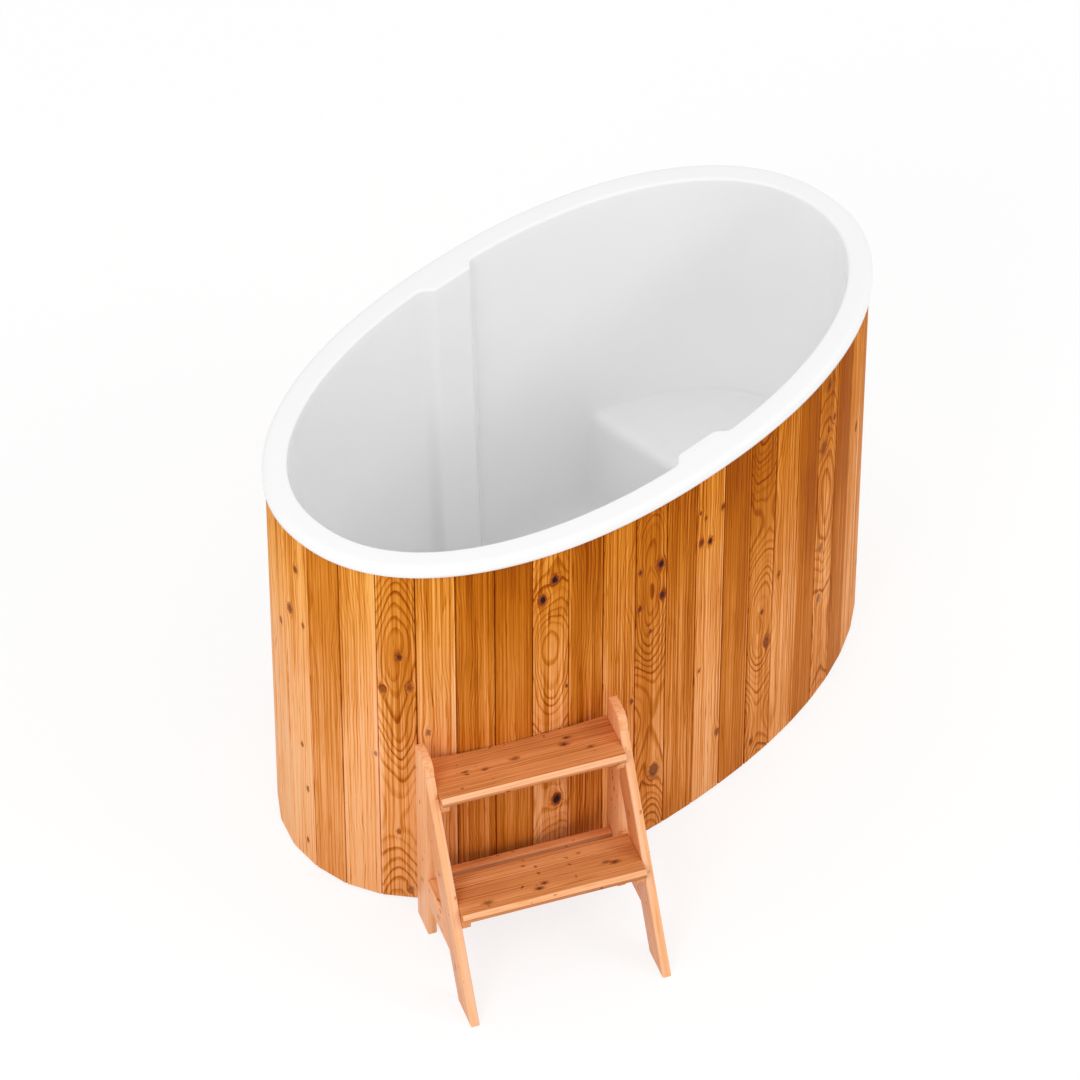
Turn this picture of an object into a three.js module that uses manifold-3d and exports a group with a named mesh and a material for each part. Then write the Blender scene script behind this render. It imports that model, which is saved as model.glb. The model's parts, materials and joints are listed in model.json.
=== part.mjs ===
// Oval two-person cold plunge tub: a moulded white liner hung in a jacket of upright timber staves,
// with a drain valve at the back and a free-standing timber step unit at the front.
// Millimetres, +Z up. The origin is the middle of the tub on the floor, +X runs to the seat end,
// -Y is the side where the step unit stands and +Y the side where the drain comes out.

import * as THREE from 'three';
import { mergeVertices } from 'three/addons/utils/BufferGeometryUtils.js';
import Module from 'manifold-3d';

const wasm = await Module();
wasm.setup();

// Tub, overall
const TUB_LENGTH = 1650;
const TUB_WIDTH = 935;
const TUB_HEIGHT = 1045;
const OVAL_EXPONENT = 2.153;

// Liner: a single moulded skin with a turned-down rim, two ribs and a bench
const LINER_WALL = 6;
const LINER_DRAFT = 0.034;
const RIM_WIDTH = 57;
const RIM_OUTER_RADIUS = 12;
const RIM_INNER_RADIUS = 7;
const LIP_DROP = 29;
const LIP_WALL = 4.5;
const LIP_CLEARANCE = 2;
const FLOOR_RADIUS = 60;
const RIB_DEPTH = 24;
const RIB_FACE_WIDTH = 112;
const RIB_FOOT_WIDTH = 160;
const SEAT_HEIGHT = 300;
const SEAT_DEPTH = 418;
const SEAT_RADIUS = 30;

// Jacket of staves, made up in pairs with one board over, held by hoops inside it
const STAVE_COUNT = 47;
const STAVE_PHASE = 0.5;
const STAVE_THICKNESS = 20;
const STAVE_CHAMFER = 2.5;
const STAVE_GROUND_GAP = 5;
const TONGUE_LENGTH = 6;
const TONGUE_THICKNESS = 5;
const HOOP_HEIGHT = 40;
const HOOP_LINER_CLEARANCE = 9;
const MIDDLE_HOOP_HEIGHT = 500;

// Base under the liner: skids along the tub, bearers across them, a prop under the bench
const SKID_WIDTH = 70;
const SKID_HEIGHT = 40;
const SKID_EDGE = 242.5;
const BEARER_WIDTH = 45;
const BEARER_HEIGHT = 57;
const BEARER_MARGIN = 85;
const BEARER_COUNT = 4;
const BASE_CLEARANCE = 8;
const PROP_THICKNESS = 18;
const PROP_WIDTH = 320;

// Drain: waste in the floor, pipe under it, ball valve outside the staves
const WASTE_BORE = 44;
const WASTE_WALL = 3;
const WASTE_FLANGE = 84;
const WASTE_FLANGE_THICKNESS = 3;
const WASTE_TAIL_REACH = 4;
const STRAINER_THICKNESS = 2.5;
const STRAINER_HOLE = 9;
const STRAINER_HOLES = 8;
const LOCKNUT_HEIGHT = 12;
const LOCKNUT_WALL = 9;
const ELBOW_WALL = 5;
const PIPE_DIAMETER = 32;
const PIPE_WALL = 2;
const SOCKET_WALL = 3;
const SOCKET_DEPTH = 18;
const COLLAR_DIAMETER = 66;
const COLLAR_THICKNESS = 6;
const VALVE_HUB_WALL = 9;
const VALVE_BORE = 26;
const VALVE_BALL = 40;
const VALVE_SHELL = 9;
const VALVE_BULKHEAD = 5;
const BOSS_DIAMETER = 22;
const BOSS_RISE = 8;
const STEM_DIAMETER = 10;
const LEVER_LENGTH = 92;
const LEVER_WIDTH = 16;
const LEVER_THICKNESS = 7;
const LEVER_HUB = 26;
const LEVER_HUB_HEIGHT = 12;
const TAIL_DIAMETER = 28;
const TAIL_LENGTH = 42;
const TAIL_WALL = 3;
const TAIL_RIDGE = 1.6;
const TAIL_RIDGES = 3;

// Step unit: two side frames of boards with two treads between them
const STEP_BEARING = THREE.MathUtils.degToRad(-115.4);
const STEP_SHIFT = -14;
const STEP_WIDTH = 476;
const STEP_DEPTH = 377;
const BOARD_THICKNESS = 21;
const BOARD_WIDTH = 76;
const REAR_LEG_HEIGHT = 538;
const REAR_LEG_RADIUS = 32;
const FRONT_LEG_SLOPE = THREE.MathUtils.degToRad(59.2);
const RAIL_BOTTOM = 103;
const LOWER_TREAD_TOP = 239;
const UPPER_TREAD_TOP = 473;
const TREAD_THICKNESS = 22;
const TREAD_DEPTH = 128;
const TREAD_OVERHANG = 32;
const TREAD_RADIUS = 9;
const TREAD_HOLLOW = 10;
const REAR_SLAT_DEPTH = 38;
const SLAT_GAP = 0.8;
const CLEAT_HEIGHT = 44;
const STRETCHER_TOP = 143;
const STRETCHER_HEIGHT = 60;
const STRETCHER_INSET = 17;

// Clearances and facets
const FIT_GAP = 0.3;
const WELD = 1e-4;
const CUT_PAST = 20;
const ARC_SAMPLES = 4600;
const ROUND_FACETS = 24;
const CORNER_FACETS = 4;

// Worked out from the sizes above
const SHELL_STATIONS = 2 * STAVE_COUNT;
const HALF_LENGTH = TUB_LENGTH / 2;
const HALF_WIDTH = TUB_WIDTH / 2;
const STAVE_INSET = LIP_WALL + LIP_CLEARANCE;
const BASE_TOP = SKID_HEIGHT + FIT_GAP + BEARER_HEIGHT;
const LINER_BOTTOM = BASE_TOP + FIT_GAP;
const FLOOR_TOP = LINER_BOTTOM + LINER_WALL;
const FLANGE_UNDERSIDE = TUB_HEIGHT - LINER_WALL;
const SEAT_TOP = FLOOR_TOP + SEAT_HEIGHT;
const SEAT_FRONT = HALF_LENGTH - SEAT_DEPTH;

// Finishes
const gelcoat = new THREE.MeshStandardMaterial({ color: 0xf4f4f2, roughness: 0.22, metalness: 0 });
const staveWood = new THREE.MeshStandardMaterial({ color: 0xb8691f, roughness: 0.5, metalness: 0 });
const stepWood = new THREE.MeshStandardMaterial({ color: 0xc07a45, roughness: 0.55, metalness: 0 });
const frameWood = new THREE.MeshStandardMaterial({ color: 0xc9a673, roughness: 0.75, metalness: 0 });
const greyPlastic = new THREE.MeshStandardMaterial({ color: 0x6b6f73, roughness: 0.45, metalness: 0 });
const leverPlastic = new THREE.MeshStandardMaterial({ color: 0x2b2d30, roughness: 0.5, metalness: 0 });
const steel = new THREE.MeshStandardMaterial({ color: 0xc9cbcc, roughness: 0.3, metalness: 1 });

/** Turns a closed geometry into a solid, dropping the collapsed triangles at a pole. */
function solidOf(geometry) {
  const bare = geometry.clone();
  bare.deleteAttribute('normal');
  bare.deleteAttribute('uv');
  const merged = mergeVertices(bare, WELD);
  const corners = merged.attributes.position.array;
  const kept = [];
  const index = merged.index.array;
  let volume = 0;
  const [a, b, c] = [new THREE.Vector3(), new THREE.Vector3(), new THREE.Vector3()];
  for (let i = 0; i < index.length; i += 3) {
    const [p, q, r] = [index[i], index[i + 1], index[i + 2]];
    if (p === q || q === r || r === p) continue;
    kept.push(p, q, r);
    volume += a.fromArray(corners, 3 * p).dot(b.fromArray(corners, 3 * q).cross(c.fromArray(corners, 3 * r)));
  }
  if (volume < 0) kept.reverse();
  const mesh = { numProp: 3, vertProperties: new Float32Array(corners), triVerts: new Uint32Array(kept) };
  return new wasm.Manifold(new wasm.Mesh(mesh));
}

/** Turns a solid back into a geometry with flat-shaded normals. */
function geometryOf(solid) {
  const mesh = solid.getMesh();
  const geometry = new THREE.BufferGeometry();
  geometry.setAttribute('position', new THREE.BufferAttribute(new Float32Array(mesh.vertProperties), 3));
  geometry.setIndex(new THREE.BufferAttribute(new Uint32Array(mesh.triVerts), 1));
  geometry.computeVertexNormals();
  return geometry;
}

/** Names a piece; takes a geometry or a solid. */
function piece(name, shape, material) {
  const geometry = shape.isBufferGeometry ? shape : geometryOf(shape);
  const mesh = new THREE.Mesh(geometry, material);
  mesh.name = name;
  return mesh;
}

/** Extrudes an outline of Vector2 points or a Shape along +Z, from z0 to z1. */
function upright(outline, z0, z1) {
  const shape = Array.isArray(outline) ? new THREE.Shape(outline) : outline;
  const geometry = new THREE.ExtrudeGeometry(shape, {
    depth: z1 - z0, bevelEnabled: false, curveSegments: CORNER_FACETS,
  });
  return geometry.translate(0, 0, z0);
}

/** Extrudes an outline drawn in Y and Z along +X, from x0 to x1. */
function sideways(outline, x0, x1) {
  const toYZ = new THREE.Matrix4().makeBasis(
    new THREE.Vector3(0, 1, 0), new THREE.Vector3(0, 0, 1), new THREE.Vector3(1, 0, 0));
  return upright(outline, x0, x1).applyMatrix4(toYZ);
}

/** A box between two corners. */
function block(x0, y0, z0, x1, y1, z1) {
  const geometry = new THREE.BoxGeometry(x1 - x0, y1 - y0, z1 - z0);
  return geometry.translate((x0 + x1) / 2, (y0 + y1) / 2, (z0 + z1) / 2);
}

/** Revolves [radius, height] points about +Z; the profile closes on itself or ends on the axis. */
function turned(points, closed) {
  const profile = points.map(([radius, height]) => new THREE.Vector2(radius, height));
  if (closed) profile.push(profile[0].clone());
  return new THREE.LatheGeometry(profile, ROUND_FACETS).rotateX(Math.PI / 2);
}

/** The same, about +Y, with heights measured along +Y. */
function turnedAlong(points, closed) {
  return turned(points, closed).rotateX(-Math.PI / 2);
}

/** Points of a quarter-round corner from one angle to another, end points included. */
function corner(x, y, radius, from, to) {
  const step = (to - from) / CORNER_FACETS;
  return Array.from({ length: CORNER_FACETS + 1 }, (_, i) => {
    const angle = from + i * step;
    return [x + radius * Math.cos(angle), y + radius * Math.sin(angle)];
  });
}

/** A point of the tub's oval, drawn in by an inset from the rim's outer edge. */
function ovalPoint(angle, inset) {
  const power = 2 / OVAL_EXPONENT;
  const [c, s] = [Math.cos(angle), Math.sin(angle)];
  return new THREE.Vector2(
    (HALF_LENGTH - inset) * Math.sign(c) * Math.abs(c) ** power,
    (HALF_WIDTH - inset) * Math.sign(s) * Math.abs(s) ** power);
}

/** Angles that cut the staves' oval into equal lengths, the first one a share of a length past +X. */
function evenStations(count, phase) {
  const total = [0];
  const step = 2 * Math.PI / ARC_SAMPLES;
  let last = ovalPoint(0, STAVE_INSET);
  for (let i = 1; i <= ARC_SAMPLES; i += 1) {
    const next = ovalPoint(i * step, STAVE_INSET);
    total.push(total[i - 1] + next.distanceTo(last));
    last = next;
  }
  return Array.from({ length: count }, (_, k) => {
    const target = ((k + phase) % count) / count * total[ARC_SAMPLES];
    const i = Math.max(0, total.findIndex((length) => length >= target) - 1);
    return step * (i + (target - total[i]) / (total[i + 1] - total[i]));
  });
}

/** How far the oval reaches at one coordinate, for an inset: along Y at an x, or along X at a y. */
const reachY = (x, inset) => (HALF_WIDTH - inset)
  * (1 - Math.abs(x / (HALF_LENGTH - inset)) ** OVAL_EXPONENT) ** (1 / OVAL_EXPONENT);
const reachX = (y, inset) => (HALF_LENGTH - inset)
  * (1 - Math.abs(y / (HALF_WIDTH - inset)) ** OVAL_EXPONENT) ** (1 / OVAL_EXPONENT);

const shellAngles = evenStations(SHELL_STATIONS, 2 * STAVE_PHASE);
const jointAngles = evenStations(STAVE_COUNT, STAVE_PHASE);
const joints = jointAngles.map((angle) => ovalPoint(angle, STAVE_INSET));

/** A revolve laid round the oval: each [inset, height] point of the profile follows its own oval.
    An inset of null is the middle of the tub. */
function ovalSolid(points) {
  const profile = points.map(([inset, height]) => new THREE.Vector2(inset ?? 0, height));
  const geometry = new THREE.LatheGeometry(profile, SHELL_STATIONS);
  const position = geometry.attributes.position;
  for (let v = 0; v < position.count; v += 1) {
    const station = Math.floor(v / points.length) % SHELL_STATIONS;
    const [inset, height] = points[v % points.length];
    const at = inset === null ? new THREE.Vector2() : ovalPoint(shellAngles[station], inset);
    position.setXYZ(v, at.x, at.y, height);
  }
  return solidOf(geometry);
}

/** Inset of the liner's inner face at a height. */
const wallInset = (z) => RIM_WIDTH + LINER_DRAFT * (TUB_HEIGHT - z);

/** The liner's outline as a full solid: floor, wall, flange and turned-down lip. */
function linerBody() {
  const outerRadius = FLOOR_RADIUS + LINER_WALL;
  const footInset = wallInset(FLOOR_TOP) - LINER_WALL;
  const heel = corner(
    footInset + outerRadius, LINER_BOTTOM + outerRadius, outerRadius, 1.5 * Math.PI, Math.PI);
  const brow = corner(
    RIM_OUTER_RADIUS, TUB_HEIGHT - RIM_OUTER_RADIUS, RIM_OUTER_RADIUS, Math.PI, Math.PI / 2);
  return ovalSolid([
    [null, LINER_BOTTOM],
    ...heel,
    [wallInset(FLANGE_UNDERSIDE) - LINER_WALL, FLANGE_UNDERSIDE],
    [LIP_WALL, FLANGE_UNDERSIDE],
    [LIP_WALL, TUB_HEIGHT - LIP_DROP],
    [0, TUB_HEIGHT - LIP_DROP],
    ...brow,
    [null, TUB_HEIGHT],
  ]);
}

/** The space inside the liner before the bench and ribs stand in it. */
function linerSpace() {
  const footInset = wallInset(FLOOR_TOP);
  const heel = corner(
    footInset + FLOOR_RADIUS, FLOOR_TOP + FLOOR_RADIUS, FLOOR_RADIUS, 1.5 * Math.PI, Math.PI);
  const edge = corner(
    RIM_WIDTH - RIM_INNER_RADIUS, TUB_HEIGHT - RIM_INNER_RADIUS, RIM_INNER_RADIUS, 0, Math.PI / 2);
  return ovalSolid([
    [null, FLOOR_TOP],
    ...heel,
    ...edge,
    [RIM_WIDTH - RIM_INNER_RADIUS, TUB_HEIGHT + CUT_PAST],
    [null, TUB_HEIGHT + CUT_PAST],
  ]);
}

/** The bench across the seat end: everything behind its front and under its top, drawn in by a skin. */
function benchSolid(skin) {
  const top = SEAT_TOP - skin;
  const front = SEAT_FRONT + skin;
  const bottom = LINER_BOTTOM - CUT_PAST;
  const radius = SEAT_RADIUS - skin;
  const outline = [
    [front - LINER_DRAFT * (top - bottom), bottom],
    ...corner(front + radius, top - radius, radius, Math.PI, Math.PI / 2),
    [HALF_LENGTH, top],
    [HALF_LENGTH, bottom],
  ].map(([x, z]) => new THREE.Vector2(x, z));
  const stand = new THREE.Matrix4().makeBasis(
    new THREE.Vector3(1, 0, 0), new THREE.Vector3(0, 0, 1), new THREE.Vector3(0, -1, 0));
  return solidOf(upright(outline, -HALF_WIDTH, HALF_WIDTH).applyMatrix4(stand));
}

/** A rib half-way along a long side (side is 1 or -1), drawn in by a skin and leaning with the wall. */
function ribSolid(side, skin, z0, z1, behind) {
  const flank = (RIB_FOOT_WIDTH - RIB_FACE_WIDTH) / 2 / RIB_DEPTH;
  const slant = skin * (Math.hypot(1, flank) - flank);
  const face = RIB_DEPTH - skin;
  const faceHalf = RIB_FACE_WIDTH / 2 - slant;
  const footHalf = faceHalf + flank * (face + skin);
  const wall = HALF_WIDTH - RIM_WIDTH;
  const outline = [
    [-faceHalf, wall - face], [faceHalf, wall - face],
    [footHalf, wall + skin], [footHalf, wall + behind],
    [-footHalf, wall + behind], [-footHalf, wall + skin],
  ].map(([x, y]) => new THREE.Vector2(x, y));
  const lean = new THREE.Matrix4().set(
    1, 0, 0, 0,
    0, 1, LINER_DRAFT, -LINER_DRAFT * TUB_HEIGHT,
    0, 0, 1, 0,
    0, 0, 0, 1);
  const geometry = upright(outline, z0, z1).applyMatrix4(lean);
  if (side < 0) geometry.rotateZ(Math.PI);
  return solidOf(geometry);
}

/** The moulded liner: body less space, with the bench and ribs standing in as hollow skins. */
function liner(drainHole) {
  let space = linerSpace().subtract(benchSolid(0));
  let body = linerBody().subtract(benchSolid(LINER_WALL));
  for (const side of [1, -1]) {
    space = space.subtract(ribSolid(side, 0, FLOOR_TOP - CUT_PAST, TUB_HEIGHT + CUT_PAST, LINER_WALL));
    body = body.subtract(
      ribSolid(side, LINER_WALL, FLOOR_TOP + FLOOR_RADIUS, FLANGE_UNDERSIDE, LINER_WALL + LIP_CLEARANCE));
  }
  return body.subtract(space).subtract(drainHole);
}

/** The frame at a stave joint: inward along the mitre, and onward round the tub. */
const jointFrames = joints.map((at, k) => {
  const before = joints[(k + STAVE_COUNT - 1) % STAVE_COUNT];
  const after = joints[(k + 1) % STAVE_COUNT];
  const arriving = at.clone().sub(before).normalize();
  const leaving = after.clone().sub(at).normalize();
  const onward = arriving.clone().add(leaving).normalize();
  const inward = new THREE.Vector2(-onward.y, onward.x);
  return { at, leaving, onward, inward, squareness: onward.dot(leaving) };
});

/** The joints' polygon drawn in squarely by a distance. */
function jacketPolygon(distance) {
  return jointFrames.map(({ at, inward, squareness }) => (
    at.clone().addScaledVector(inward, distance / squareness)));
}

/** A point at joint k, given along the tub and in from the outer corner. */
function atJoint(k, along, depth) {
  const { at, onward, inward } = jointFrames[k % STAVE_COUNT];
  return at.clone().addScaledVector(onward, along).addScaledVector(inward, depth);
}

/** Cross-section of neighbouring boards: a groove at one edge, a tongue at the other, Vs between. */
function panelOutline(first, boards) {
  const last = first + boards;
  const between = Array.from({ length: boards - 1 }, (_, i) => first + 1 + i);
  const half = FIT_GAP / 2;
  const tongueOuter = (STAVE_THICKNESS - TONGUE_THICKNESS) / 2;
  const tongueInner = tongueOuter + TONGUE_THICKNESS;
  const onFace = (k, board, along) => joints[k % STAVE_COUNT].clone()
    .addScaledVector(jointFrames[board].leaving, along);
  const back = (k) => STAVE_THICKNESS / jointFrames[k % STAVE_COUNT].squareness;
  return [
    atJoint(first, half, STAVE_CHAMFER),
    onFace(first, first, STAVE_CHAMFER),
    ...between.flatMap((k) => [
      onFace(k, k - 1, -STAVE_CHAMFER),
      atJoint(k, 0, STAVE_CHAMFER),
      onFace(k, k, STAVE_CHAMFER),
    ]),
    onFace(last, last - 1, -STAVE_CHAMFER),
    atJoint(last, -half, STAVE_CHAMFER),
    atJoint(last, -half, tongueOuter),
    atJoint(last, TONGUE_LENGTH - half, tongueOuter),
    atJoint(last, TONGUE_LENGTH - half, tongueInner),
    atJoint(last, -half, tongueInner),
    atJoint(last, -half, back(last)),
    ...between.map((k) => atJoint(k, 0, back(k))).reverse(),
    atJoint(first, half, back(first)),
    atJoint(first, half, tongueInner + FIT_GAP),
    atJoint(first, TONGUE_LENGTH + half, tongueInner + FIT_GAP),
    atJoint(first, TONGUE_LENGTH + half, tongueOuter - FIT_GAP),
    atJoint(first, half, tongueOuter - FIT_GAP),
  ];
}

/** A hoop that the staves are fixed to, lying just inside them. */
function hoop(z0) {
  const outer = STAVE_THICKNESS + FIT_GAP;
  const inner = RIM_WIDTH - LINER_WALL - STAVE_INSET - HOOP_LINER_CLEARANCE;
  const shape = new THREE.Shape(jacketPolygon(outer));
  shape.holes.push(new THREE.Path(jacketPolygon(inner)));
  return upright(shape, z0, z0 + HOOP_HEIGHT);
}

/** Skids, bearers and the prop under the bench. */
function basePieces() {
  const inset = STAVE_INSET + STAVE_THICKNESS + BASE_CLEARANCE;
  const skidSpacing = HALF_WIDTH - SKID_EDGE;
  const pieces = [];
  for (const [name, y] of [['left', skidSpacing], ['middle', 0], ['right', -skidSpacing]]) {
    const reach = reachX(Math.abs(y) + SKID_WIDTH / 2, inset);
    const skid = block(-reach, y - SKID_WIDTH / 2, 0, reach, y + SKID_WIDTH / 2, SKID_HEIGHT);
    pieces.push(piece(`base_skid_${name}`, skid, frameWood));
  }
  const outermost = reachX(skidSpacing + SKID_WIDTH / 2, inset) - BEARER_MARGIN;
  const places = Array.from({ length: BEARER_COUNT }, (_, i) => (2 * i / (BEARER_COUNT - 1) - 1) * outermost);
  places.forEach((x, i) => {
    const half = BEARER_WIDTH / 2;
    const reach = reachY(Math.abs(x) + half, inset);
    const bearer = block(x - half, -reach, SKID_HEIGHT + FIT_GAP, x + half, reach, BASE_TOP);
    pieces.push(piece(`base_bearer_${i + 1}`, bearer, frameWood));
  });
  const propX = places[BEARER_COUNT - 1];
  const prop = block(
    propX - PROP_THICKNESS / 2, -PROP_WIDTH / 2, BASE_TOP + FIT_GAP,
    propX + PROP_THICKNESS / 2, PROP_WIDTH / 2, SEAT_TOP - LINER_WALL - FIT_GAP);
  pieces.push(piece('seat_prop', prop, frameWood));
  return pieces;
}

// Drain line: it leaves square through the middle of the board nearest the back of the tub
const drainBoard = joints.reduce((best, at, k) => {
  const middle = at.clone().add(joints[(k + 1) % STAVE_COUNT]).multiplyScalar(0.5);
  return middle.y > best.middle.y ? { k, middle } : best;
}, { k: -1, middle: new THREE.Vector2(0, -Infinity) });
const drainRun = jointFrames[drainBoard.k].leaving.clone().rotateAround(new THREE.Vector2(), -Math.PI / 2);
const drainLength = drainBoard.middle.y / drainRun.y;
const drainAxis = drainBoard.middle.clone().addScaledVector(drainRun, -drainLength);
const drainLine = new THREE.Group();
drainLine.position.set(drainAxis.x, drainAxis.y, 0);
drainLine.rotation.z = Math.atan2(drainRun.y, drainRun.x) - Math.PI / 2;
drainLine.updateMatrixWorld(true);

const WASTE_RADIUS = WASTE_BORE / 2 + WASTE_WALL;
const PIPE_RADIUS = PIPE_DIAMETER / 2;
const SOCKET_RADIUS = PIPE_RADIUS + FIT_GAP;
const LOCKNUT_BOTTOM = LINER_BOTTOM - FIT_GAP - LOCKNUT_HEIGHT;
const ELBOW_TOP = LOCKNUT_BOTTOM - FIT_GAP;
const ELBOW_RADIUS = WASTE_RADIUS + FIT_GAP + ELBOW_WALL;
const PIPE_HEIGHT = SKID_HEIGHT + BASE_CLEARANCE / 2 + SOCKET_RADIUS + SOCKET_WALL;
const ELBOW_BOTTOM = PIPE_HEIGHT - SOCKET_RADIUS - SOCKET_WALL;
const PIPE_START = ELBOW_RADIUS + FIT_GAP;
const COLLAR_START = drainLength + FIT_GAP;
const VALVE_START = COLLAR_START + COLLAR_THICKNESS + FIT_GAP;
const BALL_RADIUS = VALVE_BALL / 2;
const FACET_FLAT = Math.cos(Math.PI / ROUND_FACETS);
const CAVITY_RADIUS = (BALL_RADIUS + FIT_GAP) / FACET_FLAT ** 2;
const CAVITY_REACH = Math.sqrt(CAVITY_RADIUS ** 2 - (VALVE_BORE / 2) ** 2);
const VALVE_HALF = SOCKET_DEPTH + VALVE_BULKHEAD + CAVITY_REACH;
const VALVE_MIDDLE = VALVE_START + VALVE_HALF;
const VALVE_RADIUS = CAVITY_RADIUS + VALVE_SHELL;
const HUB_RADIUS = SOCKET_RADIUS + VALVE_HUB_WALL;
const BOSS_TOP = VALVE_RADIUS + BOSS_RISE;
const STEM_RADIUS = STEM_DIAMETER / 2;
const BALL_FLAT = Math.sqrt(BALL_RADIUS ** 2 - (STEM_RADIUS + 2 * FIT_GAP) ** 2) - FIT_GAP;

/** A round bar on +Z, from z0 to z1. */
function bar(radius, z0, z1) {
  return turned([[0, z0], [radius, z0], [radius, z1], [0, z1]], false);
}

/** A round bar on +Y, from y0 to y1. */
function barAlong(radius, y0, y1) {
  return turnedAlong([[0, y0], [radius, y0], [radius, y1], [0, y1]], false);
}

/** Flanged waste through the liner's floor. */
function wasteBody() {
  const flangeBottom = FLOOR_TOP + FIT_GAP;
  const flangeTop = flangeBottom + WASTE_FLANGE_THICKNESS;
  const tailEnd = ELBOW_TOP - WASTE_TAIL_REACH;
  return turned([
    [WASTE_BORE / 2, tailEnd], [WASTE_RADIUS, tailEnd], [WASTE_RADIUS, flangeBottom],
    [WASTE_FLANGE / 2, flangeBottom], [WASTE_FLANGE / 2 - WASTE_WALL, flangeTop], [WASTE_BORE / 2, flangeTop],
  ], true);
}

/** Strainer plate lying on the waste, with a ring of holes over its bore. */
function strainer() {
  const bottom = FLOOR_TOP + 2 * FIT_GAP + WASTE_FLANGE_THICKNESS;
  const plate = new THREE.Shape().absarc(0, 0, WASTE_RADIUS, 0, 2 * Math.PI);
  const ring = WASTE_BORE / 2 - STRAINER_HOLE;
  for (let i = 0; i < STRAINER_HOLES; i += 1) {
    const angle = i * 2 * Math.PI / STRAINER_HOLES;
    const hole = new THREE.Path();
    hole.absarc(ring * Math.cos(angle), ring * Math.sin(angle), STRAINER_HOLE / 2, 0, 2 * Math.PI);
    plate.holes.push(hole);
  }
  return upright(plate, bottom, bottom + STRAINER_THICKNESS);
}

/** Ring nut that clamps the waste to the floor from below. */
function locknut() {
  const inner = WASTE_RADIUS + FIT_GAP;
  const outer = inner + LOCKNUT_WALL;
  const top = LOCKNUT_BOTTOM + LOCKNUT_HEIGHT;
  return turned([[inner, LOCKNUT_BOTTOM], [outer, LOCKNUT_BOTTOM], [outer, top], [inner, top]], true);
}

/** Elbow under the waste: a cup with a side socket for the pipe. */
function elbow() {
  const bore = WASTE_RADIUS + FIT_GAP;
  const socketEnd = PIPE_START + SOCKET_DEPTH;
  const socket = solidOf(barAlong(SOCKET_RADIUS + SOCKET_WALL, 0, socketEnd).translate(0, 0, PIPE_HEIGHT));
  const socketBore = barAlong(SOCKET_RADIUS, PIPE_START - FIT_GAP, socketEnd + CUT_PAST);
  const waterway = barAlong(PIPE_RADIUS - PIPE_WALL, 0, socketEnd);
  return solidOf(bar(ELBOW_RADIUS, ELBOW_BOTTOM, ELBOW_TOP))
    .add(socket)
    .subtract(solidOf(bar(bore, ELBOW_BOTTOM + SOCKET_WALL, ELBOW_TOP + CUT_PAST)))
    .subtract(solidOf(socketBore.translate(0, 0, PIPE_HEIGHT)))
    .subtract(solidOf(waterway.translate(0, 0, PIPE_HEIGHT)));
}

/** Pipe from the elbow's socket to the valve's. */
function drainPipe() {
  const end = VALVE_START + SOCKET_DEPTH - FIT_GAP;
  const bore = PIPE_RADIUS - PIPE_WALL;
  const tube = turnedAlong(
    [[bore, PIPE_START], [PIPE_RADIUS, PIPE_START], [PIPE_RADIUS, end], [bore, end]], true);
  return tube.translate(0, 0, PIPE_HEIGHT);
}

/** Collar that covers the hole in the staves. */
function wallCollar() {
  const end = COLLAR_START + COLLAR_THICKNESS;
  const ring = turnedAlong([
    [SOCKET_RADIUS, COLLAR_START], [COLLAR_DIAMETER / 2, COLLAR_START],
    [COLLAR_DIAMETER / 2 - COLLAR_THICKNESS / 2, end], [SOCKET_RADIUS, end],
  ], true);
  return ring.translate(0, 0, PIPE_HEIGHT);
}

/** Ball-valve body about +Y, its middle on the origin, with a boss for the stem. */
function valveBody() {
  const shoulder = VALVE_HALF - SOCKET_DEPTH;
  const outside = turnedAlong([
    [0, -VALVE_HALF], [HUB_RADIUS, -VALVE_HALF], [HUB_RADIUS, -shoulder], [VALVE_RADIUS, -CAVITY_REACH],
    [VALVE_RADIUS, CAVITY_REACH], [HUB_RADIUS, shoulder], [HUB_RADIUS, VALVE_HALF], [0, VALVE_HALF],
  ], false);
  const opening = Math.acos(CAVITY_REACH / CAVITY_RADIUS);
  const cavity = [
    ...corner(0, 0, CAVITY_RADIUS, Math.PI - opening, Math.PI / 2),
    ...corner(0, 0, CAVITY_RADIUS, Math.PI / 2, opening).slice(1),
  ].map(([along, radius]) => [radius, along]);
  const past = VALVE_HALF + CUT_PAST;
  const inside = turnedAlong([
    [0, -past], [SOCKET_RADIUS, -past], [SOCKET_RADIUS, -shoulder], [VALVE_BORE / 2, -shoulder],
    ...cavity,
    [VALVE_BORE / 2, shoulder], [SOCKET_RADIUS, shoulder], [SOCKET_RADIUS, past], [0, past],
  ], false);
  return solidOf(outside)
    .add(solidOf(bar(BOSS_DIAMETER / 2, 0, BOSS_TOP)))
    .subtract(solidOf(inside))
    .subtract(solidOf(bar(STEM_RADIUS + FIT_GAP, 0, BOSS_TOP + CUT_PAST)));
}

/** Ball with its bore across the pipe, as it lies when the valve is shut, and a flat for the stem. */
function valveBall() {
  const sphere = new THREE.SphereGeometry(BALL_RADIUS, ROUND_FACETS, ROUND_FACETS / 2).rotateX(Math.PI / 2);
  const bore = barAlong(VALVE_BORE / 2, -VALVE_BALL, VALVE_BALL).rotateZ(-Math.PI / 2);
  const flat = block(-VALVE_BALL, -VALVE_BALL, BALL_FLAT, VALVE_BALL, VALVE_BALL, VALVE_BALL);
  return solidOf(sphere).subtract(solidOf(bore)).subtract(solidOf(flat));
}

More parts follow.
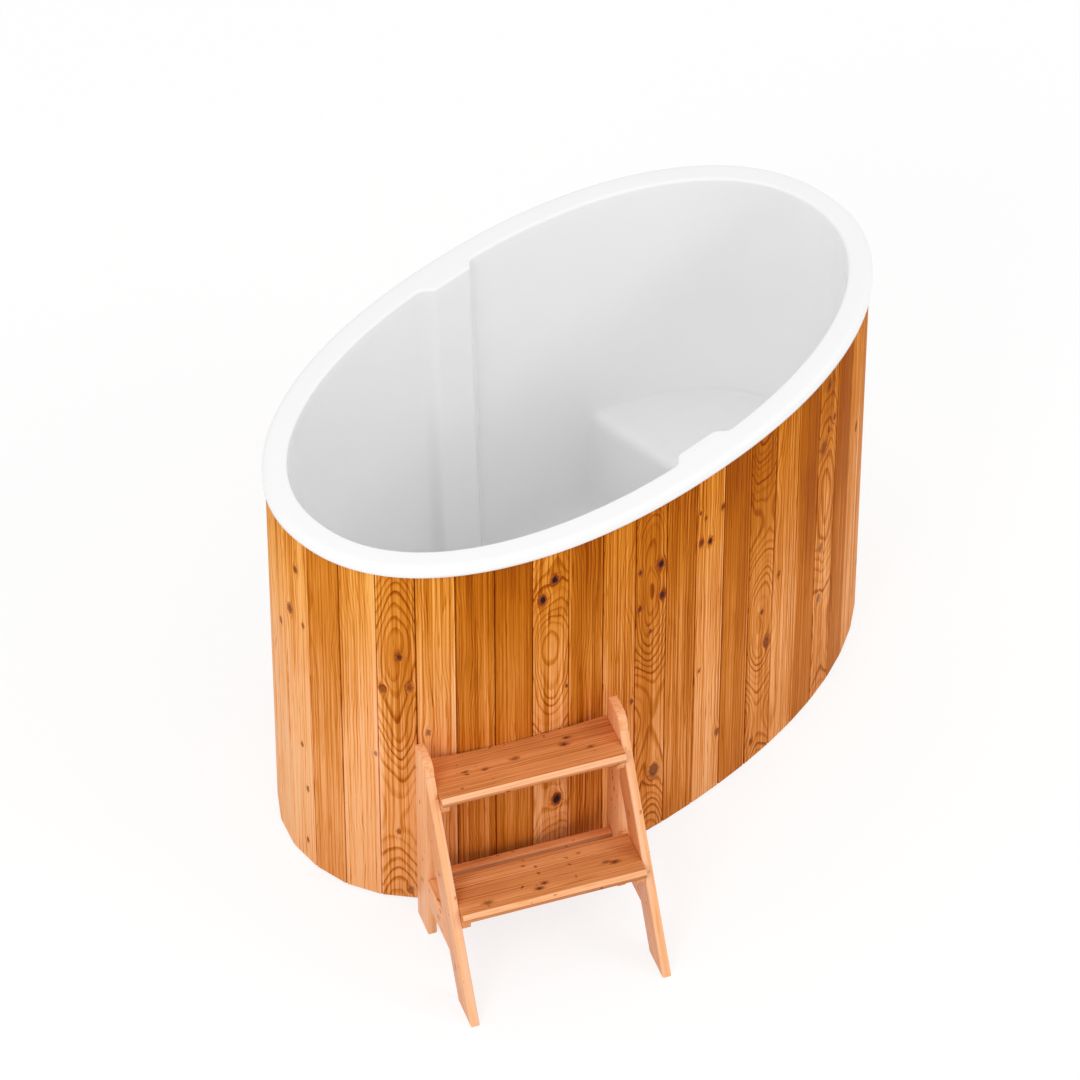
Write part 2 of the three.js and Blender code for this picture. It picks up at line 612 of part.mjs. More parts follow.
/** Lever with its stem, pointing along +X when the valve is shut. */
function valveLever() {
  const bottom = BOSS_TOP + FIT_GAP;
  const half = LEVER_WIDTH / 2;
  const arm = new THREE.Shape();
  arm.moveTo(0, -half);
  arm.lineTo(LEVER_LENGTH - half, -half);
  arm.absarc(LEVER_LENGTH - half, 0, half, -Math.PI / 2, Math.PI / 2);
  arm.lineTo(0, half);
  const armTop = bottom + LEVER_HUB_HEIGHT;
  return solidOf(bar(LEVER_HUB / 2, bottom, armTop))
    .add(solidOf(upright(arm, armTop - LEVER_THICKNESS, armTop)))
    .add(solidOf(bar(STEM_RADIUS, BALL_FLAT + FIT_GAP, bottom + LEVER_THICKNESS)));
}

/** Ridged hose tail in the valve's outlet. */
function hoseTail() {
  const start = VALVE_MIDDLE + VALVE_HALF - SOCKET_DEPTH + FIT_GAP;
  const face = VALVE_MIDDLE + VALVE_HALF + FIT_GAP;
  const shoulder = face + COLLAR_THICKNESS;
  const pitch = TAIL_LENGTH / TAIL_RIDGES;
  const ridges = Array.from({ length: TAIL_RIDGES }, (_, i) => [
    [TAIL_DIAMETER / 2 + TAIL_RIDGE, shoulder + i * pitch],
    [TAIL_DIAMETER / 2, shoulder + (i + 1) * pitch],
  ]).flat();
  const bore = TAIL_DIAMETER / 2 - TAIL_WALL;
  const tail = turnedAlong([
    [bore, start], [PIPE_RADIUS, start], [PIPE_RADIUS, face], [HUB_RADIUS, face], [HUB_RADIUS, shoulder],
    ...ridges, [bore, shoulder + TAIL_LENGTH],
  ], true);
  return tail.translate(0, 0, PIPE_HEIGHT);
}

/** A solid of the drain line turned into the tub's own frame. */
function inTubFrame(geometry) {
  return solidOf(geometry.applyMatrix4(drainLine.matrixWorld));
}

/** The whole drain line, in its own turned group. */
function drainPieces() {
  const valve = new THREE.Group();
  valve.position.set(0, VALVE_MIDDLE, PIPE_HEIGHT);
  valve.add(
    piece('drain_valve_body', valveBody(), greyPlastic),
    piece('drain_valve_ball', valveBall(), steel),
    piece('drain_valve_lever', valveLever(), leverPlastic));
  drainLine.add(
    piece('drain_waste', wasteBody(), steel),
    piece('drain_strainer', strainer(), steel),
    piece('drain_locknut', locknut(), greyPlastic),
    piece('drain_elbow', elbow(), greyPlastic),
    piece('drain_pipe', drainPipe(), greyPlastic),
    piece('drain_collar', wallCollar(), greyPlastic),
    piece('drain_hose_tail', hoseTail(), greyPlastic),
    valve);
  return drainLine;
}

/** The jacket: its boards, the ones on the drain line with a hole for the pipe, and the hoops. */
function jacketPieces() {
  const holeRadius = PIPE_RADIUS + FIT_GAP;
  const hole = barAlong(holeRadius, drainLength - STAVE_THICKNESS - CUT_PAST, drainLength + CUT_PAST);
  const pipeHole = inTubFrame(hole.translate(0, 0, PIPE_HEIGHT));
  const pieces = Array.from({ length: Math.ceil(STAVE_COUNT / 2) }, (_, pair) => {
    const first = 2 * pair;
    const count = Math.min(2, STAVE_COUNT - first);
    const boards = upright(panelOutline(first, count), STAVE_GROUND_GAP, FLANGE_UNDERSIDE - FIT_GAP);
    const holed = drainBoard.k >= first && drainBoard.k < first + count;
    const name = count === 2 ? `stave_pair_${String(pair + 1).padStart(2, '0')}` : 'stave_single';
    return piece(name, holed ? solidOf(boards).subtract(pipeHole) : boards, staveWood);
  });
  const levels = [
    ['hoop_lower', BASE_TOP + FIT_GAP],
    ['hoop_middle', MIDDLE_HOOP_HEIGHT],
    ['hoop_upper', FLANGE_UNDERSIDE - FIT_GAP - HOOP_HEIGHT],
  ];
  levels.forEach(([name, z0]) => pieces.push(piece(name, hoop(z0), frameWood)));
  return pieces;
}

// Step unit, in its own frame: +X across, +Y away from the tub, y = 0 at the front of the feet
const INNER_X = STEP_WIDTH / 2 - BOARD_THICKNESS;
const REAR_LEG_BACK = -STEP_DEPTH;
const REAR_LEG_FRONT = REAR_LEG_BACK + BOARD_WIDTH;
const FOOT_LENGTH = BOARD_WIDTH / Math.sin(FRONT_LEG_SLOPE);
const frontLegY = (z) => -z / Math.tan(FRONT_LEG_SLOPE);
const frontLegZ = (y) => -y * Math.tan(FRONT_LEG_SLOPE);
const treadFront = (top) => frontLegY(top) + TREAD_OVERHANG;

/** Upright rear leg with its top front corner rounded. */
function rearLeg(x0, x1) {
  const outline = new THREE.Shape();
  outline.moveTo(REAR_LEG_BACK, 0);
  outline.lineTo(REAR_LEG_FRONT, 0);
  outline.lineTo(REAR_LEG_FRONT, REAR_LEG_HEIGHT - REAR_LEG_RADIUS);
  outline.absarc(
    REAR_LEG_FRONT - REAR_LEG_RADIUS, REAR_LEG_HEIGHT - REAR_LEG_RADIUS, REAR_LEG_RADIUS, 0, Math.PI / 2);
  outline.lineTo(REAR_LEG_BACK, REAR_LEG_HEIGHT);
  return sideways(outline, x0, x1);
}

/** Sloping front leg, cut level at the floor and upright against the rear leg. */
function frontLeg(x0, x1) {
  const head = REAR_LEG_FRONT + FIT_GAP;
  return sideways([
    [0, 0], [head, frontLegZ(head)], [head, frontLegZ(head + FOOT_LENGTH)], [-FOOT_LENGTH, 0],
  ].map(([y, z]) => new THREE.Vector2(y, z)), x0, x1);
}

/** Level rail between the rear leg and the back edge of the front leg. */
function sideRail(x0, x1) {
  const tail = REAR_LEG_FRONT + FIT_GAP;
  const mitre = (z) => frontLegY(z) - FOOT_LENGTH - FIT_GAP;
  const top = RAIL_BOTTOM + BOARD_WIDTH;
  return sideways([
    [tail, RAIL_BOTTOM], [mitre(RAIL_BOTTOM), RAIL_BOTTOM], [mitre(top), top], [tail, top],
  ].map(([y, z]) => new THREE.Vector2(y, z)), x0, x1);
}

/** Cleat screwed to the legs under a tread, with its lower front corner cut off. */
function cleat(top, rear, front, x0, x1) {
  const head = top - TREAD_THICKNESS - FIT_GAP;
  return sideways([
    [rear, head - CLEAT_HEIGHT], [front - CLEAT_HEIGHT / 2, head - CLEAT_HEIGHT],
    [front, head - CLEAT_HEIGHT / 2], [front, head], [rear, head],
  ].map(([y, z]) => new THREE.Vector2(y, z)), x0, x1);
}

/** A tread board across the unit, its upper front edge rounded. */
function treadBoard(top, rear, front, rounded) {
  const bottom = top - TREAD_THICKNESS;
  const half = INNER_X - FIT_GAP;
  const outline = new THREE.Shape();
  outline.moveTo(rear, bottom);
  outline.lineTo(front, bottom);
  if (rounded) {
    outline.lineTo(front, top - TREAD_RADIUS);
    outline.absarc(front - TREAD_RADIUS, top - TREAD_RADIUS, TREAD_RADIUS, 0, Math.PI / 2);
  } else {
    outline.lineTo(front, top);
  }
  outline.lineTo(rear, top);
  return sideways(outline, -half, half);
}

/** Upper tread: a board whose rear edge is hollowed to follow the staves. */
function upperTread() {
  const rear = REAR_LEG_BACK - TREAD_HOLLOW;
  const radius = (INNER_X ** 2 + TREAD_HOLLOW ** 2) / (2 * TREAD_HOLLOW);
  const spread = Math.asin(INNER_X / radius);
  const hollow = new THREE.Shape();
  hollow.moveTo(-INNER_X, rear - CUT_PAST);
  hollow.lineTo(INNER_X, rear - CUT_PAST);
  hollow.lineTo(INNER_X, rear);
  hollow.absarc(0, REAR_LEG_BACK - radius, radius, Math.PI / 2 - spread, Math.PI / 2 + spread);
  const board = treadBoard(UPPER_TREAD_TOP, rear, treadFront(UPPER_TREAD_TOP), true);
  const cutter = new THREE.ExtrudeGeometry(hollow, {
    depth: TREAD_THICKNESS + 2 * CUT_PAST, bevelEnabled: false, curveSegments: ROUND_FACETS / 2,
  }).translate(0, 0, UPPER_TREAD_TOP - TREAD_THICKNESS - CUT_PAST);
  return solidOf(board).subtract(solidOf(cutter));
}

/** The point of the staves' oval that faces a direction. */
function facingPoint(direction) {
  const [a, b] = [HALF_LENGTH - STAVE_INSET, HALF_WIDTH - STAVE_INSET];
  const power = 1 / (OVAL_EXPONENT - 1);
  const [u, v] = [(a * Math.abs(direction.x)) ** power, (b * Math.abs(direction.y)) ** power];
  const scale = (u ** OVAL_EXPONENT + v ** OVAL_EXPONENT) ** (1 / OVAL_EXPONENT);
  return new THREE.Vector2(a * Math.sign(direction.x) * u / scale, b * Math.sign(direction.y) * v / scale);
}

/** Where the step unit stands: turned to its bearing, its back as close to the staves as they allow. */
function stepPlace() {
  const outward = new THREE.Vector2(Math.cos(STEP_BEARING), Math.sin(STEP_BEARING));
  const across = new THREE.Vector2(outward.y, -outward.x);
  const lateral = facingPoint(outward).dot(across) + STEP_SHIFT;
  const reaches = joints
    .map((at) => [at.dot(outward), Math.abs(at.dot(across) - lateral) / INNER_X])
    .filter(([, share]) => share <= 1)
    .map(([distance, share]) => distance + TREAD_HOLLOW * share ** 2);
  const reach = Math.max(...reaches) + 2 * FIT_GAP + STEP_DEPTH;
  return outward.multiplyScalar(reach).addScaledVector(across, lateral);
}

/** The step unit in its place. */
function stepUnit() {
  const unit = new THREE.Group();
  const at = stepPlace();
  unit.position.set(at.x, at.y, 0);
  unit.rotation.z = STEP_BEARING - Math.PI / 2;

  const lowerFront = treadFront(LOWER_TREAD_TOP);
  const lowerRear = lowerFront - TREAD_DEPTH;
  const upperFront = treadFront(UPPER_TREAD_TOP);
  const slatFront = lowerRear + REAR_SLAT_DEPTH;
  for (const [name, side] of [['left', 1], ['right', -1]]) {
    const outer = [side * INNER_X, side * STEP_WIDTH / 2].sort((a, b) => a - b);
    const wall = INNER_X - FIT_GAP;
    const inner = [side * (wall - BOARD_THICKNESS), side * wall].sort((a, b) => a - b);
    const lowerCleat = cleat(LOWER_TREAD_TOP, lowerRear, lowerFront - TREAD_RADIUS, ...inner);
    const upperCleat = cleat(UPPER_TREAD_TOP, REAR_LEG_BACK, upperFront - TREAD_RADIUS, ...inner);
    unit.add(
      piece(`step_rear_leg_${name}`, rearLeg(...outer), stepWood),
      piece(`step_front_leg_${name}`, frontLeg(...outer), stepWood),
      piece(`step_side_rail_${name}`, sideRail(...outer), stepWood),
      piece(`step_lower_cleat_${name}`, lowerCleat, stepWood),
      piece(`step_upper_cleat_${name}`, upperCleat, stepWood));
  }
  const stretcherRear = REAR_LEG_BACK + STRETCHER_INSET;
  const stretcher = block(
    -INNER_X + FIT_GAP, stretcherRear, STRETCHER_TOP - STRETCHER_HEIGHT,
    INNER_X - FIT_GAP, stretcherRear + BOARD_THICKNESS, STRETCHER_TOP);
  unit.add(
    piece('step_tread_upper', upperTread(), stepWood),
    piece(
      'step_tread_lower_front', treadBoard(LOWER_TREAD_TOP, slatFront + SLAT_GAP, lowerFront, true), stepWood),
    piece('step_tread_lower_rear', treadBoard(LOWER_TREAD_TOP, lowerRear, slatFront, false), stepWood),
    piece('step_rear_stretcher', stretcher, stepWood));
  return unit;
}

const floorHole = inTubFrame(bar(WASTE_RADIUS + FIT_GAP, LINER_BOTTOM - CUT_PAST, FLOOR_TOP + CUT_PAST));

const tub = new THREE.Group();
tub.add(
  piece('liner', liner(floorHole), gelcoat),
  ...jacketPieces(),
  ...basePieces(),
  drainPieces(),
  stepUnit());

export default tub;
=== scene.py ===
"""Dresses an oval cold plunge tub: timber staves, a moulded white liner, a drain line and a step unit."""
import json
import logging
import math
import random
from dataclasses import dataclass, field
from enum import Enum
from typing import Callable, Sequence, Union

import bmesh
import bpy
import numpy as np
from mathutils import Matrix, Vector


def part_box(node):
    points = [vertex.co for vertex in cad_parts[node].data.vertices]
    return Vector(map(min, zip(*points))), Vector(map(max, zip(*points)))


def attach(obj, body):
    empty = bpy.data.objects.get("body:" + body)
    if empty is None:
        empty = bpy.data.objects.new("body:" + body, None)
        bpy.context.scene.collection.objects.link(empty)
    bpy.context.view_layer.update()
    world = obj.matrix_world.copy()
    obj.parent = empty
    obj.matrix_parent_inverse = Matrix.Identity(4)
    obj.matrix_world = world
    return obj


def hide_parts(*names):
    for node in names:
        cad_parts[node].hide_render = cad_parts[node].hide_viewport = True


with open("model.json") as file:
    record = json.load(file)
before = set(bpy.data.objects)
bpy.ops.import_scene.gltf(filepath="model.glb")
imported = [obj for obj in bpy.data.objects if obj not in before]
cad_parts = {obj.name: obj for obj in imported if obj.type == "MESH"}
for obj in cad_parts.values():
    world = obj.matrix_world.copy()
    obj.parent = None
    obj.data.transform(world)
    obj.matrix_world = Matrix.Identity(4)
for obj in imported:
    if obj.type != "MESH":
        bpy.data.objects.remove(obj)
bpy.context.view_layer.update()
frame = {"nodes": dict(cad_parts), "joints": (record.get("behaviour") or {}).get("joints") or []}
LOG = logging.getLogger("cold_plunge_tub")

Colour = tuple[float, float, float, float]
Number = Union[int, float]
Value = Union["Term", int, float]
Mesh = bmesh.types.BMesh
Edges = Sequence[bmesh.types.BMEdge]
Profile = Sequence[tuple[float, float]]
Spans = tuple[tuple[float, float], ...]

KNOTS_PER_BOARD = 7
ASIDE_SPREAD = (0.7, 1.3)
DEPTH_SPREAD = (0.9, 1.1)
SPACING_SPREAD = (0.85, 1.2)
NOISE_SEEDS = (3.0, 60.0)
KNOT_INKS = ("knot_inks_a", "knot_inks_b", "knot_inks_c")
INKS_EACH = 3
MIX_FIRST, MIX_SECOND, MIX_RESULT = 6, 7, 2
SHARP_EDGE = math.radians(34)
FLAT = math.radians(0.2)
WELD = 1e-6
NEVER_ZERO = 1e-9
MM_PER_METRE = 1000
UP = Vector((0, 0, 1))
WHITE: Colour = (1.0, 1.0, 1.0, 1.0)


def tone(red: int, green: int, blue: int) -> Colour:
    """A colour written as it looks on a screen, 0 to 255, turned into light by the sRGB curve.

    Args:
        red: Red as shown.
        green: Green as shown.
        blue: Blue as shown.

    Returns:
        The linear colour with full opacity.
    """
    def light(shown: int) -> float:
        """One channel of light."""
        share = shown / 255
        return share / 12.92 if share <= 0.04045 else ((share + 0.055) / 1.055) ** 2.4

    return (light(red), light(green), light(blue), 1.0)


class Term:
    """A shader socket that takes part in Python arithmetic."""

    def __init__(self, paint: "Paint", socket: bpy.types.NodeSocket) -> None:
        """Keeps the socket and the nodes it belongs to."""
        self.paint = paint
        self.socket = socket

    def __add__(self, other: Value) -> "Term":
        """Sum."""
        return self.paint.maths("ADD", self, other)

    def __radd__(self, other: Value) -> "Term":
        """Sum with a number first."""
        return self.paint.maths("ADD", other, self)

    def __sub__(self, other: Value) -> "Term":
        """Difference."""
        return self.paint.maths("SUBTRACT", self, other)

    def __rsub__(self, other: Value) -> "Term":
        """Difference with a number first."""
        return self.paint.maths("SUBTRACT", other, self)

    def __mul__(self, other: Value) -> "Term":
        """Product."""
        return self.paint.maths("MULTIPLY", self, other)

    def __rmul__(self, other: Value) -> "Term":
        """Product with a number first."""
        return self.paint.maths("MULTIPLY", other, self)

    def __truediv__(self, other: Value) -> "Term":
        """Quotient."""
        return self.paint.maths("DIVIDE", self, other)

    def __rtruediv__(self, other: Value) -> "Term":
        """Quotient with a number first."""
        return self.paint.maths("DIVIDE", other, self)

    def at_least(self, other: Value) -> "Term":
        """The larger of two."""
        return self.paint.maths("MAXIMUM", self, other)

    def root(self) -> "Term":
        """Square root."""
        return self.paint.maths("SQRT", self)

    def past_whole(self) -> "Term":
        """What is left above the whole number."""
        return self.paint.maths("FRACT", self)

    def swing(self, amount: Number) -> "Term":
        """Noise about a half, turned into a swing about zero."""
        return (self - 0.5) * amount

    def rise(self, start: Number, end: Number) -> "Term":
        """A soft step.

        Args:
            start: Where the step is still 0.
            end: Where it has reached 1.

        Returns:
            The step, between 0 and 1.
        """
        sockets = {"Value": self, "From Min": start, "From Max": end}
        made = self.paint.node("ShaderNodeMapRange", {"interpolation_type": "SMOOTHSTEP"}, sockets)
        return Term(self.paint, made.outputs[0])


class Paint:
    """The nodes of one material or world."""

    def __init__(self, owner: Union[bpy.types.Material, bpy.types.World]) -> None:
        """Starts with an empty sheet of nodes.

        Args:
            owner: The material or world that is painted.
        """
        owner.use_nodes = True
        self.tree = owner.node_tree
        self.tree.nodes.clear()

    def node(self, kind: str, settings: dict | None = None, sockets: dict | None = None) -> bpy.types.Node:
        """Adds a node.

        Args:
            kind: The node's type.
            settings: Its own settings, set first.
            sockets: Values or links of its inputs, by name or number.

        Returns:
            The node.
        """
        made = self.tree.nodes.new(kind)
        for name, value in (settings or {}).items():
            setattr(made, name, value)
        for key, value in (sockets or {}).items():
            if isinstance(value, Term):
                self.tree.links.new(value.socket, made.inputs[key])
            else:
                made.inputs[key].default_value = value
        return made

    def maths(self, operation: str, *values: Value) -> Term:
        """One Math node on values and numbers."""
        made = self.node("ShaderNodeMath", {"operation": operation}, dict(enumerate(values)))
        return Term(self, made.outputs[0])

    def attribute(self, name: str) -> Term:
        """A piece's own attribute, as a vector."""
        settings = {"attribute_type": "GEOMETRY", "attribute_name": name}
        return Term(self, self.node("ShaderNodeAttribute", settings).outputs["Vector"])

    def place(self) -> Term:
        """Object coordinates, in metres."""
        return Term(self, self.node("ShaderNodeTexCoord").outputs["Object"])

    def split(self, vector: Term) -> tuple[Term, Term, Term]:
        """The three numbers of a vector."""
        made = self.node("ShaderNodeSeparateXYZ", None, {0: vector})
        return tuple(Term(self, socket) for socket in made.outputs)

    def vector(self, x: Value, y: Value, z: Value) -> Term:
        """A vector of three numbers."""
        return Term(self, self.node("ShaderNodeCombineXYZ", None, {0: x, 1: y, 2: z}).outputs[0])

    def noise(self, vector: Term, layers: Number, fineness: Number = 1.0) -> Term:
        """Smooth noise about a half.

        Args:
            vector: Where it is read.
            layers: How many finer layers it has.
            fineness: How fine it is.

        Returns:
            The noise, mostly between 0.2 and 0.8.
        """
        sockets = {"Vector": vector, "Scale": fineness, "Detail": layers}
        return Term(self, self.node("ShaderNodeTexNoise", None, sockets).outputs[0])

    def stretched(self, fineness: Sequence[Number], layers: Number) -> Term:
        """Noise in object coordinates, with its own fineness along X, Y and Z."""
        axes = self.split(self.place())
        return self.noise(self.vector(*(axis * fine for axis, fine in zip(axes, fineness))), layers)

    def mix(self, share: Value, first: "Term | Colour", second: "Term | Colour",
            blend: str = "MIX") -> Term:
        """Goes from one colour to another.

        Args:
            share: How much of the second colour.
            first: The colour at 0.
            second: The colour at 1.
            blend: How the second colour acts on the first.

        Returns:
            The mixed colour.
        """
        settings = {"data_type": "RGBA", "clamp_factor": True, "blend_type": blend}
        made = self.node("ShaderNodeMix", settings, {0: share, MIX_FIRST: first, MIX_SECOND: second})
        return Term(self, made.outputs[MIX_RESULT])

    def ramp(self, place: Term, stops: "Sequence[tuple[Number, Colour]]") -> Term:
        """Goes through several colours.

        Args:
            place: Where on the ramp.
            stops: Each colour and its place, lowest first.

        Returns:
            The colour at that place.
        """
        (start, colour), *others = stops
        for stop, target in others:
            colour = self.mix((place - start) / (stop - start), colour, target)
            start = stop
        return colour

    def surface(self, colour: "Term | Colour", roughness: Value, height: Term | None = None,
                relief: float = 0.0, constants: dict | None = None) -> None:
        """Closes a material with its shader and output.

        Args:
            colour: Base colour.
            roughness: Roughness.
            height: Height of the fine relief, if there is any.
            relief: How high the relief stands, in metres.
            constants: Other sockets of the shader, the same all over.
        """
        sockets = {"Base Color": colour, "Roughness": roughness, **(constants or {})}
        if height is not None:
            bump = self.node("ShaderNodeBump", None, {"Strength": 1.0, "Distance": relief, "Height": height})
            sockets["Normal"] = Term(self, bump.outputs[0])
        shader = self.node("ShaderNodeBsdfPrincipled", None, sockets)
        self.node("ShaderNodeOutputMaterial", None, {"Surface": Term(self, shader.outputs[0])})


@dataclass(frozen=True)
class Finish:
    """What every finish has: its own name and the record's slot."""

    name: str
    slot: str

    def material(self) -> bpy.types.Material:
        """The finish's material, made the first time it is asked for.

        Returns:
            The material.
        """
        known = bpy.data.materials.get(self.name)
        if known is not None:
            return known
        made = bpy.data.materials.new(self.name)
        self.paint(Paint(made))
        return made

    def paint(self, paint: Paint) -> None:
        """Fills the material's nodes."""
        raise NotImplementedError


class Mark(Enum):
    """Marks in wood.

    Each says how fine it is across, into and along the board, how many finer layers it has, and how far a
    board's own number shifts it, so that no two boards are alike.
    """

    BAND = (38, 20, 0.8, 2, 2)
    CLOUD = (9, 9, 3.2, 2, 1)
    DASH = (260, 120, 9, 1, 5)
    FIBRE = (820, 820, 14, 3, 1)
    PIN = (80, 80, 42, 1, 1)
    RIPPLE = (48, 48, 11, 3, 1)
    STREAK = (230, 90, 1.3, 1, 3)
    WARP = (14, 14, 4.4, 1, 1)

    def read(self, across: Term, depth: Term, along: Term, seed: Term) -> Term:
        """The mark's noise on a board.

        Args:
            across: Place across the board.
            depth: Place into it.
            along: Place along it.
            seed: The board's own number.

        Returns:
            The noise, about a half.
        """
        fine_across, fine_depth, fine_along, layers, shift = self.value
        aside = across * fine_across + seed * shift
        return across.paint.noise(across.paint.vector(aside, depth * fine_depth, along * fine_along), layers)


@dataclass(frozen=True)
class Tint:
    """How a mark changes the tone: where in its noise it starts, where it is full, and how far it goes."""

    start: float
    full: float
    step: float

    def on(self, noise: Term) -> Term:
        """The change of tone."""
        return noise.rise(self.start, self.full) * self.step


@dataclass(frozen=True)
class OiledTimber(Finish):
    """Oiled knotty softwood, with growth rings that follow each board's own cut and bend round its knots.

    A board's tone is a place among the timber's tones, which its marks move up and down.
    """

    tones: tuple[tuple[float, Colour], ...]
    knot_rim: Colour
    knot_heart: Colour
    roughness: float = 0.55
    fibre_roughness: float = 0.22
    late_roughness: float = 0.05
    specular: float = 0.03
    relief: float = 0.00045
    fibre_height: float = 0.5
    late_height: float = 0.4
    heart_depth: float = 0.5

    # Painted light by height: paler below level as painted floor light and reflection, darker above it as
    # painted shade under the rim.
    level: float = 0.72
    foot: float = 0.32
    foot_light_top_shade: float = 0.0
    # Painted shade: a tint that takes blue out towards the top of the board.
    top_shade_tint: Colour = (1.0, 0.98, 0.15, 1.0)
    top_shade_share: float = 0.0
    top_shade_heights: tuple[float, float] = (0.55, 1.0)

    band_step: float = 0.6
    cloud_step: float = 0.4
    cloud_drift: float = 0.3125
    dark_streak: Tint = Tint(0.53, 0.62, -0.24)
    pale_streak: Tint = Tint(0.46, 0.38, 0.18)
    dash: Tint = Tint(0.60, 0.70, -0.26)
    fibre: Tint = Tint(0.42, 0.80, -0.10)
    pin: Tint | None = None
    figure_lift: float = 0.10
    line_lift: float = 0.12

    # Painted shade in the V-groove beside each joint.
    groove: float = 0.0419
    groove_soft: float = 0.0012
    groove_shade: float = 0.4
    # Pale edge, partly rubbed and partly a painted highlight.
    edge_pale_ramp: float = 0.04
    edge_pale_soft: float = 0.0014

    sway: float = 0.030
    sway_pace: float = 1.7
    sway_shift: float = 3.1
    dive_sway: float = 0.8
    dive_pace: float = 3.1
    dive_shift: float = 5.3
    ring_ripple: float = 0.0034
    ring_warp: float = 0.026
    ring_drift: float = 1.4
    drift_pace: float = 0.27
    late_rise: tuple[float, float] = (0.46, 0.84)
    late_fall: tuple[float, float] = (0.9, 1.0)
    late_least: float = 0.15
    vigour: tuple[float, float] = (0.28, 0.72)
    vigour_paces: tuple[float, float] = (0.8, 0.7)

    knot_length: float = 0.62
    knot_bend: float = 1.5
    knot_swell: float = 1.8
    knot_spread: float = 1.6
    knot_fray: tuple[float, float] = (0.35, 1.3)
    fray_fineness: tuple[float, float] = (150, 130)
    knot_zones: Spans = ((1.0, 3.2), (0.95, 1.4), (0.6, 0.95))
    halo_stain: float = 0.3
    rim_share: float = 0.8

    def paint(self, paint: Paint) -> None:
        """Rings, streaks, fibres, knots, worn edges and painted light and shade, from the board's attributes.

        Args:
            paint: The material's nodes.
        """
        across, depth, along = paint.split(paint.attribute("board"))
        light, seed, spacing = paint.split(paint.attribute("look"))
        figure, line, _ = paint.split(paint.attribute("figure"))
        bent, swell, (halo, rim, heart) = self._round_knots(paint, across, along)
        late = self._rings(paint, bent, swell, depth, along, seed, spacing)
        bands = Mark.BAND.read(across, depth, along, seed)
        streaks = Mark.STREAK.read(bent, depth, along, seed)
        dashes = Mark.DASH.read(bent, depth, along, seed)
        fibre = Mark.FIBRE.read(across, depth, along, seed)
        cloud = Mark.CLOUD.read(across, depth, along + seed * self.cloud_drift, seed)

        # Painted light by height: paler towards the foot, darker towards the top.
        place = light + (self.level - along.at_least(self.foot)) * self.foot_light_top_shade
        place = place + figure * self.figure_lift + line * self.line_lift - late * line
        place = place + (bands.swing(self.band_step) + self.dark_streak.on(streaks)) * figure
        place = place + (self.pale_streak.on(streaks) + self.dash.on(dashes)) * figure
        place = place + cloud.swing(self.cloud_step) + self.fibre.on(fibre)
        place = place + self._edge_wear_highlight_and_groove_shade(paint, across, depth) - halo * halo * self.halo_stain
        if self.pin is not None:
            place = place + self.pin.on(Mark.PIN.read(across, depth, along, seed))
        colour = paint.ramp(place, self.tones)
        # Painted shade: less blue towards the top.
        colour = paint.mix(along.rise(*self.top_shade_heights) * self.top_shade_share, colour, self.top_shade_tint, "MULTIPLY")
        colour = paint.mix(rim.root() * self.rim_share, colour, self.knot_rim)
        colour = paint.mix(heart * heart, colour, self.knot_heart)

        roughness = self.roughness + fibre.swing(self.fibre_roughness) - late * self.late_roughness
        height = fibre * self.fibre_height + late * self.late_height - heart * self.heart_depth
        paint.surface(colour, roughness, height, self.relief, {"Specular IOR Level": self.specular})

    def _edge_wear_highlight_and_groove_shade(self, paint: Paint, across: Term, depth: Term) -> Term:
        """The pale edge of a board, partly rubbed and partly a painted highlight, and the painted shade in
        the groove beside it.

        Args:
            paint: The material's nodes.
            across: Place across the board.
            depth: Place into it.

        Returns:
            The change of tone.
        """
        pale_edge, lean, paleness = paint.split(paint.attribute("wear_and_highlight"))
        _, _, edge = paint.split(paint.attribute("form"))
        side = (across * across).root()
        pale = (across * pale_edge).rise(0.0, self.edge_pale_ramp)
        pale = pale * (side + depth * lean - edge).rise(0.0, self.edge_pale_soft)
        # Pale edge, partly rubbed and partly painted highlight, less the painted shade in the groove.
        return pale * paleness - side.rise(self.groove, self.groove + self.groove_soft) * self.groove_shade

    def _rings(self, paint: Paint, bent: Term, swell: Term, depth: Term, along: Term, seed: Term,
               spacing: Term) -> Term:
        """The dark late wood of the growth rings.

        Args:
            paint: The material's nodes.
            bent: Place across the board, bent round its knots.
            swell: How far the knots push the rings out.
            depth: Place into the board.
            along: Place along the board.
            seed: The board's own number.
            spacing: How far its rings lie apart.

        Returns:
            How much late wood there is, from 0 to about 1.
        """
        pith_across, pith_depth, dive = paint.split(paint.attribute("cut"))
        eye, waves, _ = paint.split(paint.attribute("form"))
        wander = paint.noise(paint.vector(seed * self.sway_shift, seed, along * self.sway_pace), layers=1)
        sinking = paint.noise(paint.vector(seed, seed * self.dive_shift, along * self.dive_pace), layers=1)
        ripple = Mark.RIPPLE.read(bent, depth, along, seed).swing(self.ring_ripple)
        warp = Mark.WARP.read(bent, depth, along, seed).swing(self.ring_warp)
        sideways = bent - pith_across - wander.swing(self.sway)
        dip = paint.maths("COSINE", (along - eye) * waves) - sinking.swing(self.dive_sway)
        below = pith_depth - depth - dip * dive
        distance = (sideways * sideways + below * below).root()
        ring = (distance + ripple + warp + swell) / spacing
        drift = paint.noise(paint.vector(ring * self.drift_pace, seed, 0.0), layers=1)
        ring_pace, along_pace = self.vigour_paces
        vigour = paint.noise(paint.vector(ring * ring_pace, seed, along * along_pace), layers=1)
        phase = (ring + drift * self.ring_drift).past_whole()
        strength = self.late_least + vigour.rise(*self.vigour) * (1 - self.late_least)
        return phase.rise(*self.late_rise) * (1 - phase.rise(*self.late_fall)) * strength

